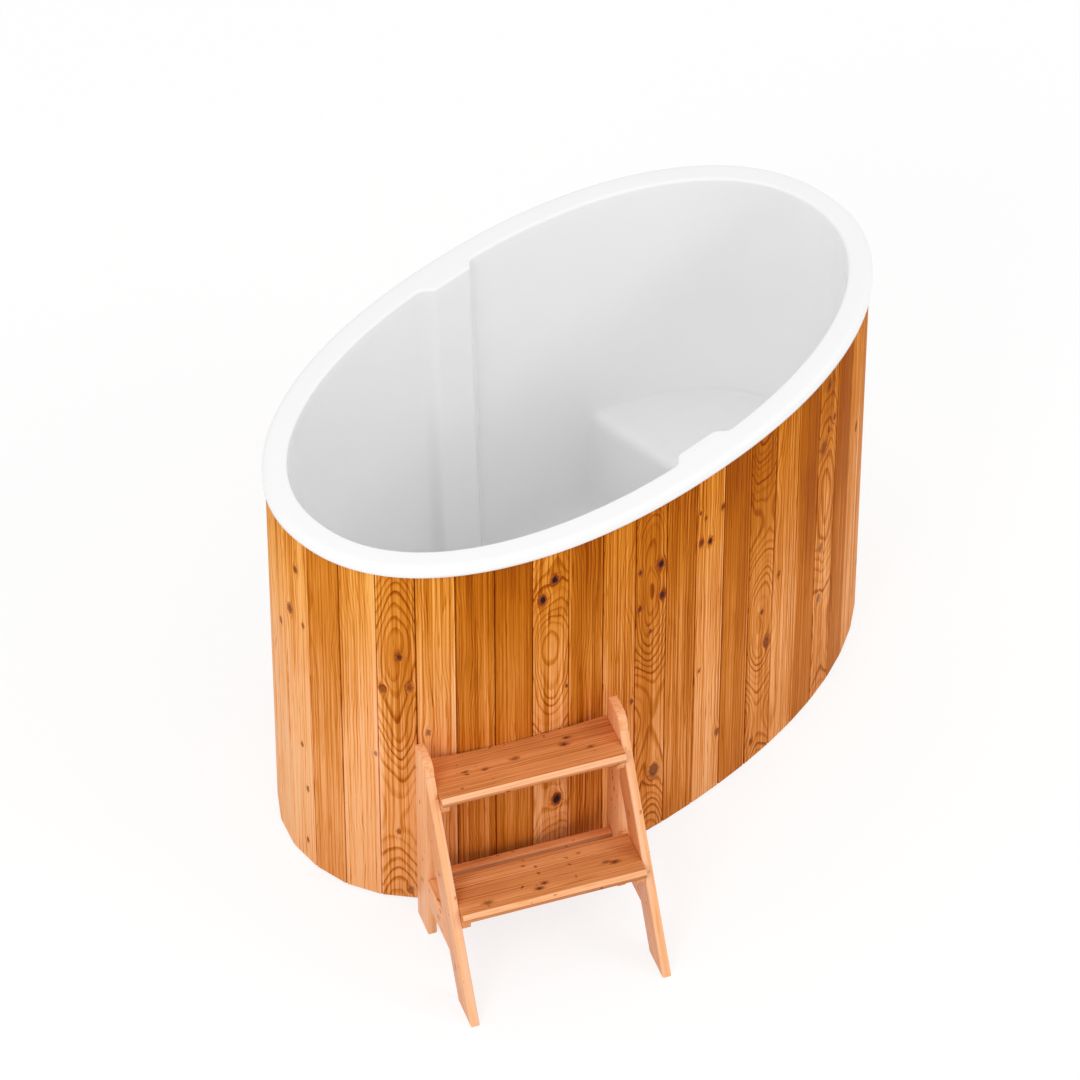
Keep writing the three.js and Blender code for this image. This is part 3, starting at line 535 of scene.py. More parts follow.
    def _round_knots(self, paint: Paint, across: Term, along: Term) -> tuple[Term, Term, list[Term]]:
        """Bends the grain round the board's knots, as water flows round a post.

        Args:
            paint: The material's nodes.
            across: Place across the board.
            along: Place along the board.

        Returns:
            The bent place across the board, how far the knots push the rings out, and how strongly the knots'
            halos, rims and hearts show.
        """
        fine_across, fine_along = self.fray_fineness
        least, span = self.knot_fray
        fray = paint.noise(paint.vector(across * fine_across, along * fine_along, 0.0), layers=3)
        ragged = least + fray * span
        inks = [ink for name in KNOT_INKS for ink in paint.split(paint.attribute(name))]
        bent, swell = across, 0.0
        shown = [0.0] * len(self.knot_zones)
        for index, ink in zip(range(KNOTS_PER_BOARD), inks):
            centre, level, radius = paint.split(paint.attribute(f"knot_{index}"))
            aside = across - centre
            beyond = (along - level) * self.knot_length
            square = aside * aside + beyond * beyond
            reach = radius * radius
            bend = reach * self.knot_bend
            bent = bent - aside * bend / square.at_least(bend + NEVER_ZERO)
            spread = square + reach * self.knot_spread + NEVER_ZERO
            swell = radius * reach * self.knot_swell / spread + swell
            distance = square.root() / radius.at_least(NEVER_ZERO) * ragged
            shown = [(ink * (1 - distance.rise(*zone))).at_least(other)
                     for other, zone in zip(shown, self.knot_zones)]
        return bent, swell, shown


@dataclass(frozen=True)
class SawnTimber(Finish):
    """Plain sawn softwood under the tub, with its grain along one axis."""

    pale: Colour
    brown: Colour
    along: tuple[float, float, float]
    grain_across: float = 260.0
    grain_along: float = 5.0
    saw_marks: float = 190.0
    clouds: float = 6.0
    grain_tint: Tint = Tint(0.3, 0.75, 0.7)
    cloud_share: float = 0.25
    roughness: float = 0.74
    roughness_change: float = 0.2
    relief: float = 0.0006
    grain_height: float = 0.6
    mark_height: float = 0.5

    def paint(self, paint: Paint) -> None:
        """Straight grain with saw marks.

        Args:
            paint: The material's nodes.
        """
        stretch = [self.grain_across * (1 - share) + self.grain_along * share for share in self.along]
        grain = paint.stretched(stretch, layers=3)
        clouds = paint.noise(paint.place(), layers=2, fineness=self.clouds)
        marks = paint.stretched([self.saw_marks * share for share in self.along], layers=1)
        colour = paint.mix(self.grain_tint.on(grain) + clouds * self.cloud_share, self.pale, self.brown)
        roughness = self.roughness + grain.swing(self.roughness_change)
        height = grain * self.grain_height + marks * self.mark_height
        paint.surface(colour, roughness, height, self.relief)


@dataclass(frozen=True)
class Moulding(Finish):
    """Moulded plastic: faint patches of another tone and gloss, and the fine grain that a mould leaves."""

    colour: Colour
    patch: Colour
    roughness: float
    roughness_change: float = 0.25
    patches: float = 45.0
    patch_tint: Tint = Tint(0.45, 0.75, 0.6)
    grain: float = 1500.0
    grain_layers: int = 2
    relief: float = 0.00008
    specular: float = 0.5
    coat: float = 0.0
    coat_roughness: float = 0.2

    def paint(self, paint: Paint) -> None:
        """Patches and grain.

        Args:
            paint: The material's nodes.
        """
        place = paint.place()
        patches = paint.noise(place, layers=3, fineness=self.patches)
        grain = paint.noise(place, self.grain_layers, self.grain)
        colour = paint.mix(self.patch_tint.on(patches), self.colour, self.patch)
        roughness = self.roughness + patches.swing(self.roughness_change)
        constants = {"Coat Weight": self.coat, "Coat Roughness": self.coat_roughness,
                     "Specular IOR Level": self.specular}
        paint.surface(colour, roughness, grain, self.relief, constants)


@dataclass(frozen=True)
class BrushedSteel(Finish):
    """Stainless steel with a fine brushed grain."""

    bright: Colour
    dull: Colour
    brush: tuple[float, float, float] = (60.0, 2600.0, 2600.0)
    stains: float = 40.0
    stain_tint: Tint = Tint(0.4, 0.8, 1.0)
    roughness: float = 0.42
    roughness_change: float = 0.3
    relief: float = 0.00003

    def paint(self, paint: Paint) -> None:
        """Brush lines along X and a little staining.

        Args:
            paint: The material's nodes.
        """
        lines = paint.stretched(self.brush, layers=2)
        stains = paint.noise(paint.place(), layers=3, fineness=self.stains)
        colour = paint.mix(self.stain_tint.on(stains), self.bright, self.dull)
        roughness = self.roughness + lines.swing(self.roughness_change)
        paint.surface(colour, roughness, lines, self.relief, {"Metallic": 1.0})


STAVE_TIMBER = OiledTimber(
    "oiled_stave_timber", "stave_wood",
    tones=((0.0, tone(146, 64, 6)), (0.4, tone(190, 105, 22)), (0.65, tone(221, 135, 55)),
           (1.0, tone(255, 182, 118)), (1.3, tone(255, 201, 154))),
    knot_rim=tone(122, 54, 40), knot_heart=tone(50, 28, 26), foot_light_top_shade=0.40, top_shade_share=0.45)
STEP_TIMBER = OiledTimber(
    "oiled_step_timber", "step_wood",
    tones=((0.0, tone(120, 62, 30)), (0.4, tone(194, 117, 60)), (0.65, tone(227, 146, 86)),
           (1.0, tone(253, 184, 128)), (1.3, tone(250, 204, 172))),
    knot_rim=tone(150, 78, 42), knot_heart=tone(84, 46, 30),
    roughness=0.42, specular=0.35, knot_length=0.5, groove=1.0, pin=Tint(0.69, 0.78, -0.5))
SKID_TIMBER = SawnTimber("sawn_skid_timber", "frame_wood", tone(212, 178, 128), tone(166, 122, 74), (1, 0, 0))
BEARER_TIMBER = SawnTimber(
    "sawn_bearer_timber", "frame_wood", tone(208, 172, 120), tone(160, 116, 70), (0, 1, 0))
HOOP_PLY = SawnTimber("bent_hoop_ply", "frame_wood", tone(214, 184, 138), tone(150, 108, 66), (0.8, 0.8, 0))
WHITE_GELCOAT = Moulding(
    "white_gelcoat", "liner_gelcoat", tone(252, 252, 252), tone(250, 250, 250), 0.21, 0.12,
    patches=5.0, patch_tint=Tint(0.35, 0.75, 0.5), grain=420.0, grain_layers=1, relief=0.00004,
    specular=0.45, coat=0.35)
GREY_FITTING = Moulding(
    "grey_fitting_plastic", "drain_plastic", tone(112, 116, 120), tone(134, 137, 140), 0.44)
DARK_LEVER = Moulding("dark_lever_plastic", "lever_plastic", tone(42, 44, 48), tone(70, 72, 76), 0.46)
DRAIN_STEEL = BrushedSteel("brushed_drain_steel", "drain_steel", tone(214, 216, 217), tone(186, 188, 190))


class Shade(Enum):
    """How light a board came out, as its place among the timber's tones."""

    BLOND = 0.83
    HONEY = 0.66
    AMBER = 0.57
    RUSSET = 0.39
    CHESTNUT = 0.34
    UMBER = 0.28


class Cut(Enum):
    """How a board was sawn: the pith's reach aside, its depth, how far it dives, and the rings' spacing."""

    FLAT_SAWN = (0.006, 0.060, 0.032, 0.0066)
    RIFT_SAWN = (0.075, 0.070, 0.004, 0.0060)
    QUARTER_SAWN = (0.190, 0.120, 0.002, 0.0066)


@dataclass(frozen=True)
class Knot:
    """A knot, in millimetres across and along its board, and how dark it is."""

    across: float
    along: float
    radius: float
    ink: float = 0.6


def drawn_knots(draw: random.Random, spans: Spans, count: int) -> tuple[Knot, ...]:
    """Knots drawn by lot, from the spans of their places across, places along and radii."""
    return tuple(Knot(*(draw.uniform(*span) for span in spans)) for _ in range(count))


@dataclass(frozen=True)
class EdgeWearAndHighlight:
    """Where a board's edge is pale, partly rubbed and partly a painted highlight: how far in, how much more
    on its upper face, and how pale.
    """

    reach: float
    lean: float = 0.0
    paleness: float = 0.3


@dataclass
class Grain:
    """One board's own wood."""

    cut: Cut
    light: float
    seed: int
    knots: Sequence[Knot] = ()
    eye: float = 0.5
    eye_length: float = 0.6
    pale_edge: float = 0.0
    edge: float = 0.0384
    lean: float = 0.0
    paleness: float = 0.3
    figure: float = 0.8
    line: float = 0.3

    def write(self, bm: Mesh, origin: Vector, across: Vector, depth: Vector, along: Vector) -> None:
        """Stores the wood in the board's vertices.

        Args:
            bm: The board's mesh.
            origin: The board's own zero.
            across: Unit vector across its broad face.
            depth: Unit vector into the board.
            along: Unit vector along its grain.
        """
        draw = random.Random(self.seed)
        reach, pith, dive, spacing = self.cut.value
        side = draw.choice((-1, 1))
        constants = {
            "cut": (side * reach * draw.uniform(*ASIDE_SPREAD), pith * draw.uniform(*DEPTH_SPREAD), dive),
            "look": (self.light, draw.uniform(*NOISE_SEEDS), spacing * draw.uniform(*SPACING_SPREAD)),
            "wear_and_highlight": (self.pale_edge, self.lean, self.paleness),
            "figure": (self.figure, self.line, 0.0),
            "form": (self.eye, 2 * math.pi / self.eye_length, self.edge),
        }
        slots = INKS_EACH * len(KNOT_INKS)
        knots = [*self.knots, *[Knot(0, 0, 0, 0)] * slots][:slots]
        for index, name in enumerate(KNOT_INKS):
            constants[name] = tuple(knot.ink for knot in knots[INKS_EACH * index:INKS_EACH * (index + 1)])
        for index, knot in enumerate(knots[:KNOTS_PER_BOARD]):
            sizes = (knot.across, knot.along, knot.radius)
            constants[f"knot_{index}"] = tuple(size / MM_PER_METRE for size in sizes)
        place = bm.verts.layers.float_vector.new("board")
        for vert in bm.verts:
            offset = vert.co - origin
            vert[place] = (offset.dot(across), offset.dot(depth), offset.dot(along))
        for name, value in constants.items():
            layer = bm.verts.layers.float_vector.new(name)
            for vert in bm.verts:
                vert[layer] = value


def soften(bm: Mesh) -> None:
    """Shades a mesh smooth, with its real corners kept sharp.

    Args:
        bm: The mesh.
    """
    for face in bm.faces:
        face.smooth = True
    for edge in bm.edges:
        edge.smooth = len(edge.link_faces) != 2 or edge.calc_face_angle(0.0) < SHARP_EDGE


def round_edges(bm: Mesh, edges: Edges, radius: float, segments: int) -> None:
    """Rounds some edges over."""
    bmesh.ops.bevel(bm, geom=list(edges), offset=radius, offset_type="OFFSET", affect="EDGES",
                    segments=segments, profile=0.5, material=-1, clamp_overlap=True)


def corners(bm: Mesh) -> list[bmesh.types.BMEdge]:
    """The edges where two faces meet at a real corner."""
    inner = [edge for edge in bm.edges if len(edge.link_faces) == 2]
    return [edge for edge in inner if edge.calc_face_angle(0.0) > SHARP_EDGE]


def copy_of(node: str) -> Mesh:
    """A welded copy of a solid's mesh, its flat faces whole again.

    Args:
        node: The solid.

    Returns:
        The copy.
    """
    bm = bmesh.new()
    bm.from_mesh(frame["nodes"][node].data)
    bmesh.ops.remove_doubles(bm, verts=bm.verts, dist=WELD)
    bmesh.ops.dissolve_limit(bm, angle_limit=FLAT, verts=bm.verts, edges=bm.edges)
    return bm


def set_out(name: str, bm: Mesh) -> bpy.types.Object:
    """Puts a mesh into the scene as an object at the origin.

    Args:
        name: The object's name.
        bm: Its mesh; it is freed.

    Returns:
        The object.
    """
    mesh = bpy.data.meshes.new(name)
    bm.to_mesh(mesh)
    bm.free()
    made = bpy.data.objects.new(name, mesh)
    bpy.context.scene.collection.objects.link(made)
    return made


def add_piece(name: str, bm: Mesh, finish: Finish, body: str, solid: str) -> bpy.types.Object:
    """Makes a piece of a mesh, dresses it and sets it on its body.

    Args:
        name: The piece's name.
        bm: Its mesh, in the tub's frame; it is freed.
        finish: What it is made of.
        body: The body that carries it.
        solid: The solid that it replaces, alone or with other pieces.

    Returns:
        The piece.
    """
    made = set_out(name, bm)
    made.data.materials.append(finish.material())
    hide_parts(solid)
    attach(made, body)
    LOG.info("%s: %d faces on %s", name, len(made.data.polygons), body)
    return made


def add_rounded(name: str, bm: Mesh, radius: float, finish: Finish, body: str, solid: str,
                segments: int = 2) -> None:
    """Rounds a fitting's corners and makes a piece of it.

    Args:
        name: The piece's name.
        bm: Its mesh; it is freed.
        radius: How far its corners are rounded.
        finish: What it is made of.
        body: The body that carries it.
        solid: The solid that it replaces.
        segments: How many faces a rounding has.
    """
    round_edges(bm, corners(bm), radius, segments)
    soften(bm)
    add_piece(name, bm, finish, body, solid)


def dress(node: str, finish: Finish) -> None:
    """Gives a solid that stays as it is its finish.

    Args:
        node: The solid.
        finish: What it is made of.
    """
    slots = frame["nodes"][node].data.materials
    slots.clear()
    slots.append(finish.material())
    LOG.info("%s: kept, %s", node, finish.name)


def spun(profile: Profile, steps: int, closed: bool) -> Mesh:
    """Spins a profile once round Z.

    Args:
        profile: Radius and height of each point.
        steps: How many steps the turn has.
        closed: Whether the profile's end joins its start.

    Returns:
        The spun mesh.
    """
    bm = bmesh.new()
    verts = [bm.verts.new((radius, 0.0, height)) for radius, height in profile]
    pairs = list(zip(verts, verts[1:])) + ([(verts[-1], verts[0])] if closed else [])
    edges = [bm.edges.new(pair) for pair in pairs]
    bmesh.ops.spin(bm, geom=verts + edges, cent=(0, 0, 0), axis=(0, 0, 1), dvec=(0, 0, 0),
                   angle=2 * math.pi, steps=steps, use_merge=True, use_duplicate=False)
    return bm


def turned(profile: Profile, steps: int, place: Matrix, closed: bool = True) -> Mesh:
    """Turns a round piece.

    Args:
        profile: Radius and height of each point.
        steps: How many steps a full turn has.
        place: Where the piece stands; heights run along its Z.
        closed: Whether the profile's end joins its start.

    Returns:
        The piece's mesh.
    """
    bm = spun(profile, steps, closed)
    bmesh.ops.remove_doubles(bm, verts=bm.verts, dist=WELD)
    bmesh.ops.recalc_face_normals(bm, faces=bm.faces)
    bmesh.ops.transform(bm, matrix=place, verts=bm.verts)
    return bm


@dataclass(frozen=True)
class Oval:
    """The tub's oval, a little squarer than an ellipse."""

    half_length: float = 0.825
    half_width: float = 0.4675
    exponent: float = 2.153
    samples: int = 4600

    def point(self, angle: float, inset: float) -> Vector:
        """A point of the oval drawn in from the rim's outer edge.

        Args:
            angle: The oval's own angle.
            inset: How far in it lies.

        Returns:
            The point, at floor level.
        """
        power = 2 / self.exponent
        run, rise = math.cos(angle), math.sin(angle)
        return Vector((
            (self.half_length - inset) * math.copysign(abs(run) ** power, run),
            (self.half_width - inset) * math.copysign(abs(rise) ** power, rise), 0.0))

    def stations(self, count: int, phase: float, inset: float,
                 weight: Callable[[Vector], float] = lambda point: 1.0) -> list[float]:
        """Angles that cut the oval into equal lengths.

        Args:
            count: How many lengths.
            phase: Where the first one starts, as a share of a length past +X.
            inset: The oval's inset.
            weight: How much a length counts at a point; more draws the stations together.

        Returns:
            The angles, counter-clockwise.
        """
        step = 2 * math.pi / self.samples
        ring = [self.point(index * step, inset) for index in range(self.samples + 1)]
        lengths = np.cumsum([0.0] + [(b - a).length * weight(a) for a, b in zip(ring, ring[1:])])
        targets = [(k + phase) % count / count * lengths[-1] for k in range(count)]
        return list(np.interp(targets, lengths, np.arange(self.samples + 1) * step))


@dataclass
class Staves:
    """The jacket of upright boards, tongued and grooved, each with its own wood."""

    oval: Oval
    count: int = 47
    phase: float = 0.5
    inset: float = 0.0065
    thickness: float = 0.020
    chamfer: float = 0.0026
    joint_gap: float = 0.0007
    tongue_length: float = 0.006
    tongue_thickness: float = 0.005
    outer_corners: int = 4
    arris: float = 0.0006
    arris_segments: int = 2
    pipe_hole: float = 0.0163
    hole_turns: int = 40
    draw_seed: int = 700
    grain_seed: int = 100
    plain_figure: float = 0.65
    rich_figure: tuple[float, float] = (0.9, 1.2)
    flat_sawn_line: float = 0.55
    line_share: float = 0.3
    # Which side of a board has a pale edge: partly rubbed, partly a painted highlight on its chamfer.
    pale_edges: tuple[float, ...] = (-1.0, -0.5, 0.0, 0.0, 0.0, 0.5, 1.0)
    unseen_light: tuple[float, float] = (0.32, 0.78)
    unseen_knot_counts: tuple[int, ...] = (1, 2, 3, 4)
    unseen_knots: Spans = ((-36, 36), (40, 1000), (3, 7))
    unseen_eye: Spans = ((0.2, 0.9), (0.7, 1.0))
    shades: dict[Shade, tuple[int, ...]] = field(default_factory=lambda: {
        Shade.BLOND: (20, 21, 22, 24),
        Shade.HONEY: (18, 19, 26, 34),
        Shade.AMBER: (23, 25, 29, 31, 37, 41),
        Shade.RUSSET: (27, 32, 36, 39),
        Shade.CHESTNUT: (28, 30, 33),
        Shade.UMBER: (35, 38, 40)})
    plain: tuple[int, ...] = (2, 11, 16, 23, 28, 35, 38, 40, 44)
    flat_sawn: tuple[int, ...] = (3, 9, 14, 25, 29, 32, 36, 39, 45)
    eyes: dict[int, tuple[float, float]] = field(default_factory=lambda: {
        25: (0.74, 0.95), 29: (0.70, 0.90), 32: (0.79, 0.90), 36: (0.44, 0.62), 39: (0.62, 0.85)})
    knots: tuple[Knot, ...] = (
        Knot(1952, 692, 6, 0.6), Knot(2029, 909, 6, 0.65), Knot(2002, 770, 9, 0.5), Knot(2051, 754, 4, 0.5),
        Knot(2032, 368, 4, 0.6), Knot(2048, 238, 5, 0.6), Knot(2041, 67, 4, 0.5),
        Knot(2300, 767, 6, 0.8), Knot(2322, 676, 7, 0.45), Knot(2262, 664, 7, 0.45), Knot(2242, 457, 4, 0.45),
        Knot(2292, 216, 5, 0.5), Knot(2316, 32, 6, 0.5), Knot(2362, 536, 5, 0.5),
        Knot(2655, 931, 8, 1.0), Knot(2626, 882, 8, 1.0), Knot(2661, 245, 10, 1.0), Knot(2685, 594, 3, 0.7),
        Knot(2858, 453, 4, 0.6), Knot(2878, 840, 5, 0.65), Knot(2937, 833, 8, 1.0), Knot(2878, 730, 5, 0.65),
        Knot(2942, 736, 7, 0.9), Knot(2909, 642, 4, 0.6), Knot(2925, 190, 13, 0.6),
        Knot(3053, 915, 4, 0.55), Knot(3071, 889, 3, 0.5), Knot(3124, 889, 5, 0.6), Knot(3058, 821, 6, 0.55),
        Knot(3086, 810, 6, 1.0), Knot(3059, 422, 4, 0.5), Knot(3123, 184, 6, 0.5),
        Knot(3270, 460, 5, 0.7), Knot(3289, 356, 10, 0.5), Knot(3244, 63, 5, 0.5), Knot(3329, 536, 5, 0.5),
        Knot(3523, 968, 7, 0.55), Knot(3557, 846, 6, 0.55), Knot(3530, 830, 5, 0.5), Knot(3507, 792, 11, 0.5),
        Knot(3511, 476, 8, 0.5), Knot(3509, 317, 8, 0.5), Knot(3715, 682, 7, 0.4))

    def __post_init__(self) -> None:
        """Finds the joints and the boards' ends from the frame."""
        angles = self.oval.stations(self.count, self.phase, self.inset)
        self.joints = [self.oval.point(angle, self.inset) for angle in angles]
        low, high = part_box("stave_pair_01")
        self.bottom, self.top = low.z, high.z

    def joint_frame(self, index: int) -> tuple[Vector, Vector, Vector]:
        """The frame of the joint at a board's start.

        Args:
            index: The board's number.

        Returns:
            The joint's corner, the way on round the tub, and the way in along the mitre.
        """
        at = self.joints[index % self.count]
        arriving = (at - self.joints[(index - 1) % self.count]).normalized()
        leaving = (self.joints[(index + 1) % self.count] - at).normalized()
        onward = (arriving + leaving).normalized()
        return at, onward, UP.cross(onward)

    def outline(self, board: int) -> list[Vector]:
        """A board's cross-section, its outer face and chamfers first.

        Args:
            board: The board's number round the tub.

        Returns:
            The corners, counter-clockwise.
        """
        start, start_on, start_in = self.joint_frame(board)
        end, end_on, end_in = self.joint_frame(board + 1)
        leaving = (end - start).normalized()
        half = self.joint_gap / 2
        back = self.thickness / start_on.dot(leaving)
        tongue_outer = (self.thickness - self.tongue_thickness) / 2
        tongue_inner = tongue_outer + self.tongue_thickness

        def first(along: float, depth: float) -> Vector:
            """A point at the groove's edge."""
            return start + start_on * along + start_in * depth

        def last(along: float, depth: float) -> Vector:
            """A point at the tongue's edge."""
            return end + end_on * along + end_in * depth

        reach = self.tongue_length
        return [
            first(half, self.chamfer), start + leaving * self.chamfer,
            end - leaving * self.chamfer, last(-half, self.chamfer),
            last(-half, tongue_outer), last(reach - half, tongue_outer),
            last(reach - half, tongue_inner), last(-half, tongue_inner),
            last(-half, back), first(half, back),
            first(half, tongue_inner + half), first(reach + half, tongue_inner + half),
            first(reach + half, tongue_outer - half), first(half, tongue_outer - half)]

    def knots_on(self, board: int) -> tuple[Knot, ...]:
        """The knots seen on a board, which are noted by their way round the tub.

        Args:
            board: The board's number round the tub.

        Returns:
            The knots, with their places across the board.
        """
        lengths = [(b - a).length for a, b in zip(self.joints, self.joints[1:])]
        pitch = MM_PER_METRE * sum(lengths) / len(lengths)
        middle = (board + self.phase + 0.5) * pitch
        return tuple(Knot(knot.across - middle, knot.along, knot.radius, knot.ink)
                     for knot in self.knots if abs(knot.across - middle) <= pitch / 2)

    def grain(self, board: int) -> Grain:
        """A board's wood: as seen where it shows, drawn by lot round the back.

        Args:
            board: The board's number round the tub.

        Returns:
            The wood.
        """
        draw = random.Random(self.draw_seed + board)
        seen = [shade.value for shade, boards in self.shades.items() if board in boards]
        light = seen[0] if seen else draw.uniform(*self.unseen_light)
        cut = Cut.FLAT_SAWN if board in self.flat_sawn else draw.choice((Cut.RIFT_SAWN, Cut.QUARTER_SAWN))
        knots = self.knots_on(board)
        if not seen:
            knots = drawn_knots(draw, self.unseen_knots, draw.choice(self.unseen_knot_counts))
        pale_edge = draw.choice(self.pale_edges)
        figure = self.plain_figure if board in self.plain else draw.uniform(*self.rich_figure)
        line = self.flat_sawn_line if cut is Cut.FLAT_SAWN else self.line_share * figure
        drawn = tuple(draw.uniform(*span) for span in self.unseen_eye)
        eye, eye_length = self.eyes.get(board, drawn)
        seed = self.grain_seed + board
        return Grain(cut, light, seed, knots, eye, eye_length, pale_edge, figure=figure, line=line)

    def board(self, index: int, drain: "DrainLine") -> Mesh:
        """One board, from its cross-section.

        Args:
            index: The board's number round the tub.
            drain: The drain line, whose pipe passes through one board.

        Returns:
            The board's mesh, with its wood stored in it.
        """
        outline = self.outline(index)
        bm = bmesh.new()
        face = bm.faces.new([bm.verts.new(point + UP * self.bottom) for point in outline])
        raised = bmesh.ops.extrude_face_region(bm, geom=[face])["geom"]
        lifted = [item for item in raised if isinstance(item, bmesh.types.BMVert)]
        bmesh.ops.translate(bm, verts=lifted, vec=UP * (self.top - self.bottom))
        bmesh.ops.recalc_face_normals(bm, faces=bm.faces)
        shown = outline[:self.outer_corners]
        outer = {vert for vert in bm.verts if any((vert.co.xy - point.xy).length < WELD for point in shown)}
        edges = [edge for edge in bm.edges if set(edge.verts) <= outer]
        round_edges(bm, edges, self.arris, self.arris_segments)
        if self.holds(index, drain):
            bm = self.drilled(bm, drain)
        soften(bm)
        middle = (self.joints[index] + self.joints[(index + 1) % self.count]) / 2
        across = (self.joints[(index + 1) % self.count] - self.joints[index]).normalized()
        inward = UP.cross(across)
        self.grain(index).write(bm, middle, across, inward, UP)
        return bm

    def build(self, drain: "DrainLine") -> None:
        """Makes every board.

        Args:
            drain: The drain line, whose pipe passes through one board.
        """
        for index in range(self.count):
            solid = f"stave_pair_{index // 2 + 1:02d}" if index + 1 < self.count else "stave_single"
            add_piece(f"stave_{index + 1:02d}", self.board(index, drain), STAVE_TIMBER, "tub", solid)

    def holds(self, index: int, drain: "DrainLine") -> bool:
        """Whether the drain line passes through a board."""
        first, last = self.joints[index], self.joints[(index + 1) % self.count]
        return first.y > 0 and last.x <= drain.outlet.x <= first.x

    def drilled(self, bm: Mesh, drain: "DrainLine") -> Mesh:
        """Drills the pipe's hole through a board.

        Args:
            bm: The board's mesh; it is freed.
            drain: The drain line.

        Returns:
            The board's mesh with the hole in it.
        """
        place = drain.place(drain.outlet - drain.run * 2 * self.thickness)
        reach = 4 * self.thickness
        profile = [(0, 0), (self.pipe_hole, 0), (self.pipe_hole, reach), (0, reach)]
        board = set_out("undrilled", bm)
        drill = set_out("drill", turned(profile, self.hole_turns, place, closed=False))
        hole = board.modifiers.new("pipe_hole", "BOOLEAN")
        hole.object = drill
        hole.solver = "EXACT"
        made = bmesh.new()
        made.from_object(board, bpy.context.evaluated_depsgraph_get())
        for used in (board, drill):
            bpy.data.objects.remove(used)
        return made


@dataclass
class Liner:
    """The white moulding: rim, drafted walls with two ribs, a bench and a level floor with rounded edges."""

    oval: Oval
    rim_width: float = 0.057
    draft: float = 0.034
    rim_outer_radius: float = 0.012
    rim_inner_radius: float = 0.007
    lip_drop: float = 0.029
    skin: float = 0.0045
    wall: float = 0.006
    floor_blend: float = 0.070
    rib_depth: float = 0.024
    rib_face: float = 0.112
    rib_foot: float = 0.160
    rib_edge_blend: float = 0.006
    rib_root_blend: float = 0.009
    rib_zone: float = 0.100
    rib_detail: float = 4.0
    seat_height: float = 0.300
    seat_depth: float = 0.418
    seat_edge_blend: float = 0.030
    seat_root_blend: float = 0.016
    drain_hole: float = 0.0253
    eye_height: float = 0.80
    stations: int = 400
    phase: float = 0.5
    floor_rings: int = 42
    low_wall_rings: int = 46
    high_wall_rings: int = 10
    rounding_rings: int = 5
    flat_rings: tuple[float, ...] = (0.3, 0.7, 1.0)
    lip_rings: tuple[float, ...] = (0.5, 0.95)
    lip_arris: float = 0.0012
    floor_crowding: float = 0.6
    wall_crowding: float = 1.25
    halvings: int = 44

    def __post_init__(self) -> None:
        """Takes the heights from the frame."""
        low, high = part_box("liner")
        self.top = high.z
        self.floor = low.z + self.wall
        self.seat = self.floor + self.seat_height

    def inset(self, z: np.ndarray) -> np.ndarray:
        """How far the wall's face lies in from the rim's outer edge at a height."""
        return self.rim_width + self.draft * (self.top - z)

    @staticmethod
    def blend(first: np.ndarray, second: np.ndarray, width: float) -> np.ndarray:
        """The smaller of two distances, rounded off where they are close."""
        near = np.maximum(width - np.abs(first - second), 0.0) / width
        return np.minimum(first, second) - near * near * width / 4

    def room(self, x: np.ndarray, y: np.ndarray, z: np.ndarray) -> np.ndarray:
        """Distance to the moulding's face: positive in the water, negative in the wall.

        Args:
            x: Places along the tub.
            y: Places across it.
            z: Heights.

        Returns:
            The distances.
        """
        power = self.oval.exponent
        length = self.oval.half_length - self.inset(z)
        width = self.oval.half_width - self.inset(z)
        share_x, share_y = np.abs(x) / length, np.abs(y) / width
        size = (share_x ** power + share_y ** power) ** (1 / power) + NEVER_ZERO
        lean_x, lean_y = share_x ** (power - 1) / length, share_y ** (power - 1) / width
        wall = (1 - size) / (size ** (1 - power) * np.hypot(lean_x, lean_y) + NEVER_ZERO)

        face = width - self.rib_depth
        flank = (self.rib_foot - self.rib_face) / 2 / self.rib_depth
        to_flank = (np.abs(x) - self.rib_face / 2 - flank * (np.abs(y) - face)) / math.hypot(1, flank)
        rib = -self.blend(np.abs(y) - face, -to_flank, self.rib_edge_blend)

        front = self.oval.half_length - self.seat_depth - self.draft * (self.seat - z)
        seat = -self.blend(x - front, self.seat - z, self.seat_edge_blend)
        walls = self.blend(wall, rib, self.rib_root_blend)
        walls = self.blend(walls, seat, self.seat_root_blend)
        return self.blend(walls, z - self.floor, self.floor_blend)

    def basin(self, angles: Sequence[float], drain: Vector) -> np.ndarray:
        """Rings of the wet face, from the drain hole over the floor and up the wall.

        Args:
            angles: The oval's angles at the stations.
            drain: The middle of the drain hole.

        Returns:
            Points by ring and station.
        """
        targets = []
        foot = [self.oval.point(angle, self.inset(self.floor)) for angle in angles]
        hole = [drain + Vector((point.x, point.y, 0)).normalized() * self.drain_hole for point in foot]
        for share in np.linspace(0.0, 1.0, self.floor_rings) ** self.floor_crowding:
            targets.append([(*(a.lerp(b, share)).xy, self.floor) for a, b in zip(hole, foot)])
        brow = self.top - self.rim_inner_radius
        low = np.linspace(0.0, 1.0, self.low_wall_rings + 1)[1:] ** self.wall_crowding
        heights = [self.floor + (self.eye_height - self.floor) * share for share in low]
        heights += list(np.linspace(self.eye_height, brow, self.high_wall_rings + 1)[1:])
        for height in heights:
            points = [self.oval.point(angle, self.inset(height)) for angle in angles]
            targets.append([(point.x, point.y, height) for point in points])
        ends = np.array(targets)
        eyes = np.zeros_like(ends)
        eyes[..., 2] = np.maximum(ends[..., 2], self.eye_height)
        near, far = np.zeros(ends.shape[:2]), np.ones(ends.shape[:2])
        for _ in range(self.halvings):
            middle = (near + far) / 2
            at = eyes + (ends - eyes) * middle[..., None]
            free = self.room(at[..., 0], at[..., 1], at[..., 2]) > 0
            near, far = np.where(free, middle, near), np.where(free, far, middle)
        found = eyes + (ends - eyes) * far[..., None]
        found[0, :, 2] = self.floor
        return found

